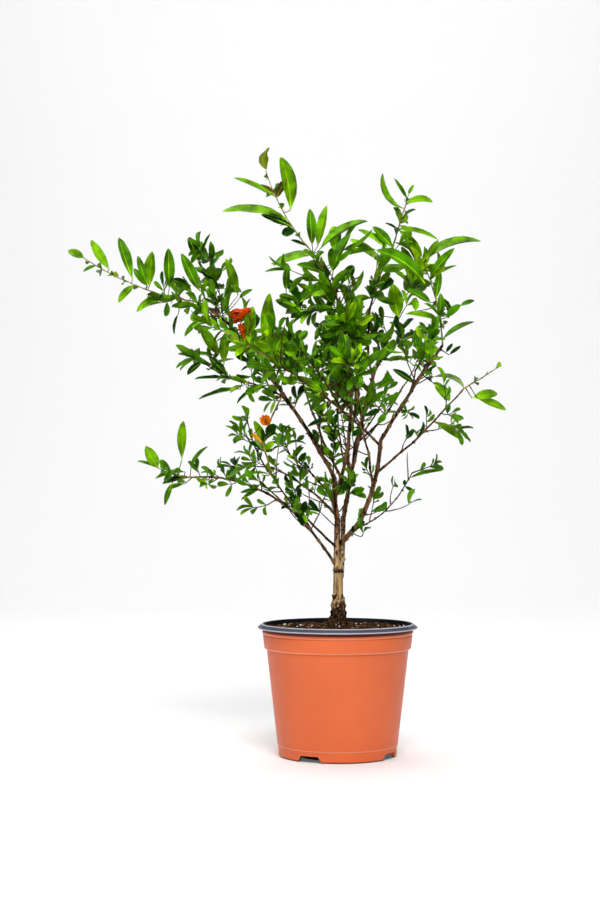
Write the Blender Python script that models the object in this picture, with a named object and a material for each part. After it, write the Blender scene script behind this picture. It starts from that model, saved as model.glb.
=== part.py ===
"""A young pomegranate tree in a round plastic nursery pot.

Lengths here are millimetres; mm() turns them into the metres of the scene.
The origin is the centre of the pot's flat underside, +Z is up and -Y is the front.
"""

import math
import random

import bmesh
import bpy
from mathutils import Vector

MM = 0.001  # metres in a millimetre
GAP = 0.3  # clearance between two pieces that touch

# Pot, a thin wall with a stepped band under the rim and a flat foot
POT_HEIGHT = 140.0
RIM_RADIUS = 85.0
WALL = 1.3
FLOOR = 1.5
FOOT_RADIUS = 62.5
FOOT_ROUNDING = (1.2, 1.5)  # inwards and up, where the foot's edge turns under
FOOT_SPREAD = 0.7  # how much wider the foot is at its ledge
FOOT_LEDGE_Z = 11.5
FOOT_LEDGE = (0.6, 0.5)  # outwards and up
BAND_BOTTOM_Z = 113.0
BAND_STEP_HEIGHT = 1.2
BELOW_BAND_RADIUS = 75.5
BAND_BOTTOM_RADIUS = 78.0
BAND_TOP_RADIUS = 80.7
LIP_HEIGHT = 5.0
# Outline of the lip's roll: in from its edge, down from its top
LIP_ROLL = ((0, 3.8), (0.5, 3.3), (4.0, 0.5), (4.7, 0), (5.6, 0.1), (6.0, 1.0))
SKIRT_DEPTH = 9.0
SKIRT_WALL = 0.8
TURNED_SIDES = 40

# Underside, a flush middle disc inside a raised drain channel
DISC_RADIUS = 42.0
CHANNEL_HEIGHT = 7.4
CHANNEL_OUTER_RADIUS = 58.0
DRAFT = 1.3  # sideways run of the channel's sloped sides

# Four drain notches through the foot
NOTCH_COUNT = 4
NOTCH_FIRST_DEG = -29.4  # from the front towards +X
NOTCH_HEIGHT = 6.8
NOTCH_TOP_WIDTH = 20.0
NOTCH_FOOT_WIDTH = 28.0
NOTCH_REACH = 8.0  # how far the cutter runs past the foot's ring, inwards and outwards
NOTCH_BELOW = 2.0  # how far it runs past the underside

# Soil, level at the wall and mounded round the trunk
SOIL_EDGE_Z = 134.6
SOIL_TOP_Z = 139.0
MOUND_TOP_RADIUS = 13.0
MOUND_FOOT_RADIUS = 36.0
MOUND_FOOT_RISE = 0.4

# Trunk
TRUNK_FOOT = (1, 0, SOIL_TOP_Z + GAP)
TRUNK_TOP = (3, 0, 248)
TRUNK_RADIUS = 5.4
FLARE_WIDTH = 4.4
FLARE_HEIGHT = 9.0
BUTTRESSES = 3
BUTTRESS_SHARE = 0.18  # of the flare's width
FORK_SWELL = 0.6
FORK_SWELL_POWER = 6  # keeps the swelling close under the fork
TRUNK_SIDES = 12
TRUNK_STEPS = 16
FORK = {"stem_middle": (-3.0, 0, 0), "stem_right": (2.8, 0, 0)}  # the two stems' places on its top

RING_START = (0.31, -1.0, 0.17)  # where a limb's first ring begins, a way that no limb runs
LIMB_STEPS = 5
LIMB_SIDES = 8
THIN_LIMB_SIDES = 6
THIN_LIMB = 1.4  # a limb with a smaller foot radius than this has fewer sides

# Foliage masses, each an uneven swelling on a limb
MASS_SIDES = 8
MASS_STEPS = 6
SMALL_MASS = 15  # a mass of a smaller widest radius has one step less
MASS_FOOT_ON_TIP = 1.2  # foot radius, as a share of the limb's tip radius
MASS_FOOT_ON_SIDE = 0.8
SWELL_LEAN = 0.75  # under 1 the widest place lies nearer the foot
SWELL_BLUNTNESS = 0.8
TIP_SHARE = 0.97  # how far along the swelling its blunt tip lies
LOBE_SHARE = 0.16
LUMP_SHARE = 0.12
LUMP_TURNS = 9

# name: what it grows from, how far along that, tip, bow of its middle, foot radius, tip radius
BOUGHS = {
    "stem_middle": ("trunk", 1, (-2, 4, 292), (-2, 0, 0), 2.7, 2.3),
    "bough_left": ("stem_middle", 1, (-81, 13, 413), (3, 0, 3), 2.1, 1.7),
    "bough_left_upper": ("bough_left", 1, (-153, 20, 485), (3, 0, 8), 1.7, 1.2),
    "bough_left_side": ("bough_left", 0.72, (-99, 30, 398), (-3, 0, 3), 1.1, 0.8),
    "leader": ("stem_middle", 0.55, (9, 17, 449), (11, 0, -4), 2.0, 1.4),
    "bough_top": ("leader", 1, (-26, 17, 537), (6, 0, 2), 1.4, 1.0),
    "stem_right": ("trunk", 1, (41, 38, 410), (-2, 0, 2), 2.4, 1.7),
    "stem_right_upper": ("stem_right", 1, (69, 55, 482), (0, 0, -2), 1.7, 1.2),
    "bough_top_right": ("stem_right", 0.96, (61, 58, 545), (-14, -4, 0), 1.2, 0.9),
    "bough_right": ("trunk", 0.78, (45, -22, 334), (9, 0, -9), 2.9, 2.0),
    "bough_right_upper": ("bough_right", 1, (110, -27, 434), (-3, 0, -2), 2.0, 1.4),
    "bough_right_outer": ("bough_right", 0.75, (130, -49, 387), (-1, 0, -5), 1.3, 0.8),
    "bough_cross": ("bough_right", 0.96, (-71, -56, 417), (4, -4, 3), 1.3, 0.8),
    "bough_low_left": ("trunk", 0.5, (-154, -43, 295), (9, 0, 29), 1.6, 0.9),
    "bough_low_inner": ("bough_low_left", 0.22, (-74, -25, 302), (1, 0, -2), 1.0, 0.8),
    "bough_low_back": ("stem_middle", 0.12, (-70, 36, 306), (2, 0, 5), 1.3, 0.8),
    "bough_low_upper": ("stem_middle", 0.5, (-50, 19, 318), (0, 0, 4), 1.1, 0.7),
    "bough_low_right": ("bough_right", 0.2, (81, 26, 300), (4, 0, -9), 0.9, 0.6),
    "bough_back_left": ("leader", 0.14, (-36, 72, 398), (0, 8, -8), 1.5, 1.0),
    "bough_back_right": ("stem_right", 0.52, (74, 80, 396), (2, 4, -6), 1.4, 1.0),
    "bough_back": ("stem_right", 0.3, (18, 74, 372), (-3, 10, -8), 1.3, 0.9),
    "bough_front": ("bough_right", 0.62, (18, -72, 384), (2, -10, -10), 1.3, 0.9),
    "bough_front_right": ("bough_right_upper", 0.3, (78, -74, 404), (2, -8, -6), 1.1, 0.8),
}

# name: what it grows from, how far along that, tip, bow of its middle, widest radius, depth share
LEAF_MASSES = {
    "leaves_left_tip": ("bough_left_upper", 1, (-289, 30, 539), (0, 0, 3), 21, 0.9),
    "leaves_upper_left": ("bough_left_upper", 0.62, (-147, 44, 552), (4, 4, 0), 23, 1.0),
    "leaves_left_flower": ("bough_left_upper", 0.1, (-71, -12, 488), (-4, -4, 0), 19, 0.9),
    "leaves_left_side": ("bough_left_side", 1, (-158, 46, 432), (0, 0, -6), 26, 1.1),
    "leaves_cross_tip": ("bough_cross", 1, (-160, -70, 460), (0, 0, -4), 19, 1.1),
    "leaves_middle_left": ("leader", 0.66, (-66, -14, 448), (0, 0, -6), 25, 1.1),
    "leaves_middle": ("leader", 0.93, (-2, -30, 478), (6, -8, -4), 24, 1.1),
    "leaves_middle_back": ("leader", 0.8, (-12, 72, 462), (0, 2, -4), 24, 1.0),
    "leaves_middle_high": ("bough_top", 0.3, (-56, 22, 472), (0, 0, 0), 15, 1.0),
    "leaves_low_middle": ("leader", 0.3, (-22, -18, 372), (0, 0, -2), 11, 1.0),
    "leaves_top": ("bough_top", 1, (-78, 10, 647), (-4, 0, 2), 20, 1.0),
    "leaves_top_left": ("bough_top", 0.62, (-70, 4, 528), (0, 0, -4), 17, 1.0),
    "leaves_upper_middle": ("bough_top", 0.8, (18, 24, 568), (4, 0, -6), 21, 1.1),
    "leaves_top_right": ("bough_top_right", 1, (80, 66, 628), (4, 0, 0), 25, 1.0),
    "leaves_right_shoot": ("bough_right_upper", 1, (118, -28, 546), (4, 0, 0), 33, 1.0),
    "leaves_right_middle": ("bough_right_upper", 0.62, (64, -22, 462), (-3, 6, 0), 21, 1.0),
    "leaves_right_back": ("stem_right_upper", 1, (96, 56, 546), (4, 0, 0), 17, 1.0),
    "leaves_right_inner": ("bough_top_right", 0.5, (44, 12, 538), (0, -4, -4), 15, 0.9),
    "leaves_right_tip": ("bough_right_outer", 1, (181, -60, 402), (0, 0, 3), 14, 1.0),
    "leaves_right_low": ("bough_right_outer", 0.66, (132, -44, 334), (4, 0, 4), 8, 1.0),
    "leaves_low_right": ("bough_low_right", 1, (112, 34, 312), (2, 0, 0), 10, 1.0),
    "leaves_low_left_tip": ("bough_low_left", 1, (-210, -54, 318), (0, 0, -2), 26, 1.0),
    "leaves_low_flower": ("bough_low_inner", 1, (-96, -30, 362), (-4, 0, 0), 25, 1.0),
    "leaves_low_back": ("bough_low_back", 1, (-126, 50, 304), (0, 0, 2), 21, 1.2),
    "leaves_low_upper": ("bough_low_upper", 1, (-60, 26, 352), (-2, 0, 0), 12, 1.0),
    "leaves_low_under": ("bough_low_left", 0.4, (-30, -46, 259), (0, -2, -2), 9, 1.0),
    "leaves_fork": ("stem_right", 0.16, (16, -22, 298), (0, 0, -2), 9, 1.0),
    "leaves_back_left": ("bough_back_left", 1, (-80, 116, 474), (0, 6, -2), 33, 1.1),
    "leaves_back_right": ("bough_back_right", 1, (98, 122, 456), (4, 6, -4), 31, 1.1),
    "leaves_back": ("bough_back", 1, (14, 132, 418), (0, 4, -4), 27, 1.1),
    "leaves_front": ("bough_front", 1, (2, -122, 432), (0, -4, -6), 29, 1.1),
    "leaves_front_right": ("bough_front_right", 1, (92, -118, 452), (2, -4, -4), 25, 1.1),
}

COLOURS = {  # base colour, roughness
    "terracotta_plastic": ((0.80, 0.15, 0.055), 0.42),
    "black_plastic": ((0.012, 0.014, 0.018), 0.45),
    "soil": ((0.045, 0.024, 0.014), 0.95),
    "bark": ((0.16, 0.085, 0.045), 0.85),
    "leaves": ((0.07, 0.23, 0.02), 0.5),
}


def mm(point):
    """A point in millimetres as a Vector in metres."""
    return Vector(point) * MM


def clear_scene():
    for thing in list(bpy.data.objects):
        bpy.data.objects.remove(thing, do_unlink=True)


def make_material(name):
    colour, roughness = COLOURS[name]
    material = bpy.data.materials.new(name)
    material.use_nodes = True
    shader = material.node_tree.nodes["Principled BSDF"]
    shader.inputs["Base Color"].default_value = (*colour, 1.0)
    shader.inputs["Roughness"].default_value = roughness
    return material


def add_object(name, mesh_data, material):
    """A smooth object from a bmesh, with its faces pointing out."""
    bmesh.ops.recalc_face_normals(mesh_data, faces=mesh_data.faces)
    mesh = bpy.data.meshes.new(name)
    mesh_data.to_mesh(mesh)
    mesh_data.free()
    mesh.shade_smooth()
    mesh.set_sharp_from_angle(angle=math.radians(40))
    thing = bpy.data.objects.new(name, mesh)
    bpy.context.scene.collection.objects.link(thing)
    thing.data.materials.append(material)
    return thing


def hide_cutter(thing):
    thing.hide_render = True
    thing.display_type = "WIRE"
    return thing


def cut(thing, cutter):
    modifier = thing.modifiers.new("cut_" + cutter.name, "BOOLEAN")
    modifier.operation = "DIFFERENCE"
    modifier.solver = "EXACT"
    modifier.object = cutter


def loft(name, rings, material):
    """A closed body through rings of points, with a flat face on each end."""
    mesh_data = bmesh.new()
    layers = [[mesh_data.verts.new(point) for point in ring] for ring in rings]
    for lower, upper in zip(layers, layers[1:]):
        for side, first in enumerate(lower):
            after = (side + 1) % len(lower)
            mesh_data.faces.new((first, lower[after], upper[after], upper[side]))
    mesh_data.faces.new(layers[0][::-1])
    mesh_data.faces.new(layers[-1])
    return add_object(name, mesh_data, material)


def turned(name, profile, closed, material):
    """A profile of (radius, height) turned round Z; an open one starts and ends on the axis."""
    mesh_data = bmesh.new()
    columns = []
    for radius, height in profile:
        if radius == 0:
            columns.append([mesh_data.verts.new(mm((0, 0, height)))] * TURNED_SIDES)
            continue
        column = []
        for side in range(TURNED_SIDES):
            angle = math.tau * side / TURNED_SIDES
            point = mm((radius * math.cos(angle), radius * math.sin(angle), height))
            column.append(mesh_data.verts.new(point))
        columns.append(column)
    pairs = list(zip(columns, columns[1:]))
    if closed:
        pairs.append((columns[-1], columns[0]))
    for here, there in pairs:
        for side in range(TURNED_SIDES):
            after = (side + 1) % TURNED_SIDES
            corners = [here[side], here[after], there[after], there[side]]
            mesh_data.faces.new(list(dict.fromkeys(corners)))
    return add_object(name, mesh_data, material)


# Pot


def wall_outside():
    """The pot's outer side as (radius, height), from the foot to under the lip."""
    ledge_radius = FOOT_RADIUS + FOOT_SPREAD
    return [
        (FOOT_RADIUS, FOOT_ROUNDING[1]),
        (ledge_radius, FOOT_LEDGE_Z),
        (ledge_radius + FOOT_LEDGE[0], FOOT_LEDGE_Z + FOOT_LEDGE[1]),
        (BELOW_BAND_RADIUS, BAND_BOTTOM_Z),
        (BAND_BOTTOM_RADIUS, BAND_BOTTOM_Z + BAND_STEP_HEIGHT),
        (BAND_TOP_RADIUS, POT_HEIGHT - LIP_HEIGHT - GAP),
    ]


def side_radius(height):
    """The pot's outer radius at a height above the foot's ledge."""
    points = wall_outside()
    for (low_radius, low), (high_radius, high) in zip(points, points[1:]):
        if low <= height <= high:
            share = (height - low) / (high - low)
            return low_radius + share * (high_radius - low_radius)
    return points[-1][0]


def inner_side(inset, low, high):
    """Points inside the wall from a low to a high height, held an inset in from its outside."""
    heights = [low]
    heights += [z for _, z in wall_outside() if low < z < high]
    heights += [high]
    return [(side_radius(height) - inset, height) for height in heights]


def make_pot(materials):
    floor_z = CHANNEL_HEIGHT + FLOOR
    wall_top = POT_HEIGHT - LIP_HEIGHT - GAP
    inside = [(0, FLOOR), (DISC_RADIUS - DRAFT, FLOOR), (DISC_RADIUS, floor_z)]
    inside += inner_side(WALL, floor_z, wall_top)
    outside = wall_outside()[::-1]
    underside = [
        (FOOT_RADIUS - FOOT_ROUNDING[0], 0),
        (CHANNEL_OUTER_RADIUS + DRAFT, 0),
        (CHANNEL_OUTER_RADIUS, CHANNEL_HEIGHT),
        (DISC_RADIUS + DRAFT, CHANNEL_HEIGHT),
        (DISC_RADIUS, 0),
        (0, 0),
    ]
    material = materials["terracotta_plastic"]
    pot = turned("pot", inside + outside + underside, False, material)
    for number in range(NOTCH_COUNT):
        cut(pot, notch_cutter(number, material))


def notch_cutter(number, material):
    """A wedge through the foot, wider at the bottom."""
    slope = (NOTCH_FOOT_WIDTH - NOTCH_TOP_WIDTH) / 2 / NOTCH_HEIGHT
    foot = NOTCH_FOOT_WIDTH / 2 + NOTCH_BELOW * slope
    top = NOTCH_TOP_WIDTH / 2
    corners = (
        (-foot, -NOTCH_BELOW),
        (foot, -NOTCH_BELOW),
        (top, NOTCH_HEIGHT),
        (-top, NOTCH_HEIGHT),
    )
    rings = []
    for distance in (CHANNEL_OUTER_RADIUS - NOTCH_REACH, FOOT_RADIUS + NOTCH_REACH):
        rings.append([mm((across, -distance, height)) for across, height in corners])
    cutter = loft(f"notch_cutter_{number}", rings, material)
    turn = NOTCH_FIRST_DEG + number * 360 / NOTCH_COUNT
    cutter.rotation_euler.z = math.radians(turn)
    return hide_cutter(cutter)


def make_rim(materials):
    """The rolled lip, with a skirt that lines the top of the wall."""
    lip_bottom = POT_HEIGHT - LIP_HEIGHT
    outside = inner_side(WALL + GAP, lip_bottom - SKIRT_DEPTH, lip_bottom - GAP)
    inside = [(radius - SKIRT_WALL, height) for radius, height in outside[::-1]]
    roll = [(RIM_RADIUS - inwards, POT_HEIGHT - down) for inwards, down in LIP_ROLL]
    under = [(outside[-1][0], lip_bottom), (RIM_RADIUS, lip_bottom)]
    turned("pot_rim", outside + under + roll + inside, True, materials["black_plastic"])


def make_soil(materials):
    skirt_z = POT_HEIGHT - LIP_HEIGHT - SKIRT_DEPTH - GAP
    floor_z = CHANNEL_HEIGHT + FLOOR + GAP
    skirt_inset = WALL + GAP + SKIRT_WALL + GAP
    mound_foot_z = SOIL_EDGE_Z + MOUND_FOOT_RISE
    top = [(0, SOIL_TOP_Z), (MOUND_TOP_RADIUS, SOIL_TOP_Z), (MOUND_FOOT_RADIUS, mound_foot_z)]
    beside_skirt = inner_side(skirt_inset, skirt_z, SOIL_EDGE_Z)[::-1]
    beside_wall = inner_side(WALL + GAP, floor_z, skirt_z)[::-1]
    bottom = [
        (DISC_RADIUS - GAP, floor_z),
        (DISC_RADIUS - DRAFT - GAP, FLOOR + GAP),
        (0, FLOOR + GAP),
    ]
    turned("soil", top + beside_skirt + beside_wall + bottom, False, materials["soil"])


# Plant


def point_on(path, share):
    """A point along a bowed path of (start, tip, bow)."""
    start, tip, bow = path
    return start.lerp(tip, share) + bow * (4 * share * (1 - share))


def direction_on(path, share):
    start, tip, bow = path
    return (tip - start + bow * (4 - 8 * share)).normalized()


def rings_along(path, steps, sides, radius_at, first_direction=None):
    """Rings of points square to the path; radius_at gives a radius for a share and an angle."""
    rings = []
    across = Vector(RING_START)
    for step in range(steps + 1):
        share = step / steps
        along = direction_on(path, share)
        if step == 0 and first_direction is not None:
            along = first_direction
        across = (across - along * across.dot(along)).normalized()
        beside = along.cross(across)
        ring = []
        for side in range(sides):
            angle = math.tau * side / sides
            radius = radius_at(share, angle)
            offset = across * math.cos(angle) * radius + beside * math.sin(angle) * radius
            ring.append(point_on(path, share) + offset)
        rings.append(ring)
    return rings


def start_on(parent, along, beside=(0, 0, 0)):
    """Where a piece leaves its parent, and its first direction where it caps the parent's tip."""
    path = parent["path"]
    start = point_on(path, along) + mm(beside)
    if along < 1:
        return start, None
    direction = direction_on(path, 1)
    return start + direction * GAP * MM, direction


def make_limb(name, path, radius_at, sides, steps, first_direction, material):
    """A tapering limb and the cutter that keeps its neighbours clear of it."""
    limb = loft(name, rings_along(path, steps, sides, radius_at, first_direction), material)

    def wider(share, angle):
        return radius_at(share, angle) + GAP * MM

    rings = rings_along(path, steps, sides, wider, first_direction)
    cutter = hide_cutter(loft(name + "_clearance", rings, material))
    return {"object": limb, "path": path, "cutter": cutter}


def make_trunk(material):
    path = (mm(TRUNK_FOOT), mm(TRUNK_TOP), mm((0, 0, 0)))
    height = TRUNK_TOP[2] - TRUNK_FOOT[2]

    def radius_at(share, angle):
        fade = math.exp(-share * height / FLARE_HEIGHT)
        buttress = 1 + BUTTRESS_SHARE * math.sin(BUTTRESSES * angle)
        knuckle = FORK_SWELL * share**FORK_SWELL_POWER
        return (TRUNK_RADIUS + knuckle + FLARE_WIDTH * fade * buttress) * MM

    flat_foot = Vector((0, 0, 1))
    return make_limb("trunk", path, radius_at, TRUNK_SIDES, TRUNK_STEPS, flat_foot, material)


def make_boughs(limbs, material):
    for name, (parent, along, tip, bow, foot_radius, tip_radius) in BOUGHS.items():
        start, first_direction = start_on(limbs[parent], along, FORK.get(name, (0, 0, 0)))
        path = (start, mm(tip), mm(bow))

        def radius_at(share, angle, foot=foot_radius, end=tip_radius):
            return (foot + share * (end - foot)) * MM

        thick = foot_radius >= THIN_LIMB
        sides = LIMB_SIDES if thick else THIN_LIMB_SIDES
        limb = make_limb(name, path, radius_at, sides, LIMB_STEPS, first_direction, material)
        if along < 1:
            cut(limb["object"], limbs[parent]["cutter"])
        limb["tip_radius"] = tip_radius
        limbs[name] = limb


def mass_radius(seed, widest, foot):
    """An uneven swelling from a thin foot to a blunt tip."""
    dice = random.Random(seed)
    lobes = dice.choice((2, 3))
    turn = dice.uniform(0, math.tau)
    twist = dice.uniform(2.0, 5.0)
    lumps = dice.uniform(0.0, math.tau)

    def radius_at(share, angle):
        swell = math.sin(math.pi * min(share, TIP_SHARE) ** SWELL_LEAN) ** SWELL_BLUNTNESS
        uneven = 1 + LOBE_SHARE * math.sin(lobes * angle + turn + twist * share)
        uneven += LUMP_SHARE * math.sin(LUMP_TURNS * share + lumps)
        return (foot + (widest - foot) * swell * uneven) * MM

    return radius_at


def make_leaf_masses(limbs, material):
    for name, (parent, along, tip, bow, widest, depth) in LEAF_MASSES.items():
        start, first_direction = start_on(limbs[parent], along)
        path = (start, mm(tip), mm(bow))
        foot_share = MASS_FOOT_ON_TIP if along == 1 else MASS_FOOT_ON_SIDE
        radius_at = mass_radius(name, widest, limbs[parent]["tip_radius"] * foot_share)
        steps = MASS_STEPS - 1 if widest < SMALL_MASS else MASS_STEPS
        rings = rings_along(path, steps, MASS_SIDES, radius_at, first_direction)
        for share, ring in enumerate(rings[1:], 1):
            middle = point_on(path, share / steps)
            for point in ring:
                point.y = middle.y + (point.y - middle.y) * depth
        mass = loft(name, rings, material)
        if along < 1:
            cut(mass, limbs[parent]["cutter"])


def main():
    clear_scene()
    materials = {name: make_material(name) for name in COLOURS}
    make_pot(materials)
    make_rim(materials)
    make_soil(materials)
    limbs = {"trunk": make_trunk(materials["bark"])}
    make_boughs(limbs, materials["bark"])
    make_leaf_masses(limbs, materials["leaves"])


main()
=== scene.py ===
"""Looks of a young pomegranate tree in its nursery pot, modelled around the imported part.

Lengths of the plant and its pot are millimetres and those of the studio metres. Angles in the
tables are degrees. +Z is up and -Y is the front. The rows of limbs and masses repeat those of
the part's source.
"""

import math
import random

import bmesh
import bpy
import numpy as np
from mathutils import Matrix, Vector, noise


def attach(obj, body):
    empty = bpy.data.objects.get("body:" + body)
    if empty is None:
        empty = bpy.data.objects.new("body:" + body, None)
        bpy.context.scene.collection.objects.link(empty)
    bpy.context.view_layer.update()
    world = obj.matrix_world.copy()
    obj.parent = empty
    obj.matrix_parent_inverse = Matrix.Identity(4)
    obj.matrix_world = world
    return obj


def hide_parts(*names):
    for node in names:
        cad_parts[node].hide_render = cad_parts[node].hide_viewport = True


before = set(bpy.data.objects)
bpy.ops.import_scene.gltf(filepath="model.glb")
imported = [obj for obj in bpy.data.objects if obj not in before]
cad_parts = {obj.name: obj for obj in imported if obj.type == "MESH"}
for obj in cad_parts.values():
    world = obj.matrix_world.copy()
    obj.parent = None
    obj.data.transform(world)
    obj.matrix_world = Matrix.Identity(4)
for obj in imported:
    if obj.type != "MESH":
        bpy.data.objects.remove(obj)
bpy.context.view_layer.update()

MM = 0.001
TAU = math.tau
GOLDEN_TURN = TAU * 0.382  # from one shoot or leaf round a stem to the next
BODY = "root"

# Angle between two faces over which their edge stays sharp
POT_EDGE_DEG = 32
LIP_EDGE_DEG = 50
LEAF_EDGE_DEG = 26
LEAF_BACK_EDGE_DEG = 40
BARK_EDGE_DEG = 60
CLOD_EDGE_DEG = 60
BLOSSOM_EDGE_DEG = 50
ALL_SMOOTH_DEG = 180

# Camera, level with the middle of the plant and turned up a little, as for the photo
CAMERA_PLACE = (-0.040, -1.900, 0.287)
CAMERA_PITCH_DEG = 1.125
CAMERA_LENS = 71.3
CAMERA_SENSOR = 36.0

# Studio: the light from all round, the glow of its far walls, and a floor that curves up a wall
SKY_LIGHT = 0.03
DOME_GLOW = 0.93
DOME_RADIUS = 14.0
BACKDROP_WHITE = (0.86, 0.86, 0.86)
BACKDROP_GLOW = 0.10
BACKDROP_SIDE = 2.2
BACKDROP_FRONT = -2.4
BACKDROP_BACK = 2.2
BACKDROP_CURVE = 1.6
BACKDROP_TOP = 7.0
CURVE_STEPS = 16

# Lights: place, what each points at, its size, its power
LIGHTS = {
    "key": ((0.22, -2.2, 2.5), (0, 0, 0.3), (1.3, 1.3), 88),
    "fill": ((-2.0, -1.7, 1.0), (0, 0, 0.3), (1.2, 1.6), 8),
    "top": ((-0.3, 0.3, 2.6), (0, 0, 0.2), (1.8, 1.8), 34),
    "wall": ((0, 1.5, 3.0), (0, 3.8, 0.9), (4.0, 1.0), 60),
}

# Pot
POT_SIDES = 160
POT_HEIGHT = 140.0
RIM_RADIUS = 85.0
WALL = 1.3
FLOOR = 1.5
GAP = 0.3
FOOT_RADIUS = 62.5
FOOT_ROUNDING = (1.2, 1.5)  # inwards and up, where the foot's edge turns under
FOOT_SPREAD = 0.7
FOOT_LEDGE_Z = 11.5
FOOT_LEDGE = (0.6, 0.5)  # outwards and up
BAND_BOTTOM_Z = 113.0
BAND_STEP_HEIGHT = 1.2
BELOW_BAND_RADIUS = 75.5
BAND_BOTTOM_RADIUS = 78.0
BAND_TOP_RADIUS = 80.7
BAND_LINE_Z = 128.6
BAND_LINE_RADIUS = 79.55
BAND_LINE_HALF_HEIGHT = 0.7
BAND_LINE_DEPTH = 0.45
LIP_HEIGHT = 5.0
WALL_TOP_Z = POT_HEIGHT - LIP_HEIGHT - GAP
NECK_HEIGHT = 3.0
NECK_DEPTH = 1.0
# The lip's outline as rows of inwards from its widest and down from its top
LIP_ROLL = ((0.5, 5.0), (0, 4.6), (0, 3.9), (0.5, 3.4), (4.0, 0.5), (4.7, 0), (5.6, 0.1), (6.0, 1.0))
SKIRT_DEPTH = 9.0
SKIRT_WALL = 0.8
DISC_RADIUS = 42.0
CHANNEL_HEIGHT = 7.4
CHANNEL_OUTER_RADIUS = 58.0
DRAFT = 1.3
NOTCH_COUNT = 4
NOTCH_FIRST_DEG = -29.4
NOTCH_HEIGHT = 6.8
NOTCH_TOP_WIDTH = 20.0
NOTCH_FOOT_WIDTH = 28.0
NOTCH_REACH = 8.0
NOTCH_BELOW = 2.0

# Colours of the pot's plastic, and of the painted highlight, painted shade (dim) and painted shadow on it
POT_COLOURS = {
    "plain": (0.77, 0.148, 0.043),
    "painted_highlight": (0.90, 0.33, 0.18),
    "dim": (0.50, 0.085, 0.022),
    "painted_shadow": (0.10, 0.014, 0.005),
}
# Which colour it takes at heights over the floor: painted shadow at the foot and under the lip,
# painted shade below the ledge, below the band's step and in the line round the band, and a painted highlight
# on each edge
POT_SHADES = (
    (0.0, "painted_shadow"), (0.9, "painted_shadow"), (1.9, "plain"),  # foot
    (10.6, "plain"), (11.1, "dim"), (11.5, "painted_highlight"), (12.1, "painted_highlight"), (12.6, "plain"),  # ledge
    (112.0, "plain"), (112.7, "dim"), (113.1, "painted_highlight"), (114.1, "painted_highlight"), (114.7, "plain"),  # band
    (127.9, "plain"), (128.5, "dim"), (129.3, "painted_highlight"), (129.9, "plain"),  # line round the band
    (131.6, "plain"), (132.4, "painted_shadow"),  # under the lip
)

# Where the lip takes painted highlights along its edges: height over the floor, how much, and the highlight
# colour
LIP_HIGHLIGHTS = ((135.0, 1.0), (135.9, 1.0), (136.5, 0.12), (138.8, 0.05), (139.4, 0.8), (140.0, 1.0))
HIGHLIGHT_GREY = (0.50, 0.51, 0.60)

# Soil
SOIL_EDGE_Z = 134.6
SOIL_TOP_Z = 138.4
MOUND_RADIUS = 40.0
SOIL_RADIUS = 77.2
SOIL_SHOULDER = 2.0  # how far down the fill its edge turns in, clear of the lip's skirt
SOIL_DEPTH = 12.0
SOIL_LUMP = 1.3
SOIL_SIDES = 150
SOIL_RINGS = 44
CLEAR_OF_TRUNK = 9

# Bits on the soil: how many, least and greatest size, flatness, length, how high they lie, seed
SOIL_BITS = {
    "soil_clods": (900, (0.7, 2.1), 0.75, 1.1, 0.25, 11),
    "soil_bark_chips": (420, (0.5, 1.15), 0.5, 2.8, 0.55, 12),
    "soil_perlite": (46, (0.6, 1.2), 0.85, 1.1, 0.7, 13),
}
BIT_SHAPES = 12

# Trunk
TRUNK_FOOT = (1, 0, 139.3)
TRUNK_TOP = (3, 0, 248)
TRUNK_PARTS_AT = (1.2, 0, 222)
TRUNK_BOW = (-0.6, 0, 0)
TRUNK_RADIUS = 5.1
TRUNK_RING = 57  # how far up the trunk its dark ring is, where the stems part
FOOT_SWELLING = 2.4
FLARE_WIDTH = 3.0
FLARE_HEIGHT = 7.0
TRUNK_SIDES = 48
TRUNK_STEP = 0.6
STEM_SIDES = 24
STUB_SIDES = 16
STUB_STEPS = 10
BARK_STEP = 1.1
SPUR_RADII = (0.9, 0.6, 0.3)  # the short spurs at the nodes of the boughs
RING_START = np.array((0.31, -1.0, 0.17))  # where a limb's rings begin, a way that no limb runs

# Where the trunk is stained: height over the floor, how much; and where it turns brown
TRUNK_STAINS = (
    (139.0, 0.62), (152.0, 0.34), (160.0, 0.18), (169.0, 0.20), (174.0, 0.00), (192.0, 0.00),
    (194.5, 0.24), (197.0, 0.24), (201.0, 0.12), (222.0, 0.14), (246.0, 0.24),
)
BROWN_FROM_Z = 222
BROWN_TO_Z = 262

# Stems that rise fused from the trunk's ring: start, tip, bow, foot radius, tip radius
FUSED_STEMS = (
    ((0.4, 0, 188), (0, 0, 252), (-0.7, 0, 0), 4.2, 2.9),
    ((4.0, -0.9, 188), (5.9, 0, 254), (0.5, 0, 0), 2.4, 2.6),
)

# Pruned stubs on the trunk: start, tip, foot radius, tip radius
TRUNK_STUBS = (
    ((-1.5, -2.5, 166.5), (-5.2, -5.0, 170.5), 3.3, 2.6),
    ((4.5, -1.0, 164), (7.6, -1.5, 166.5), 2.6, 1.9),
    ((5, -1, 205), (8.6, -1.5, 208.5), 1.7, 1.1),
    ((3.5, -2.0, 195), (6.4, -3.4, 196.5), 2.0, 1.5),
)
FORK = {"stem_middle": (-3.0, 0, 0), "stem_right": (2.8, 0, 0)}

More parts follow.
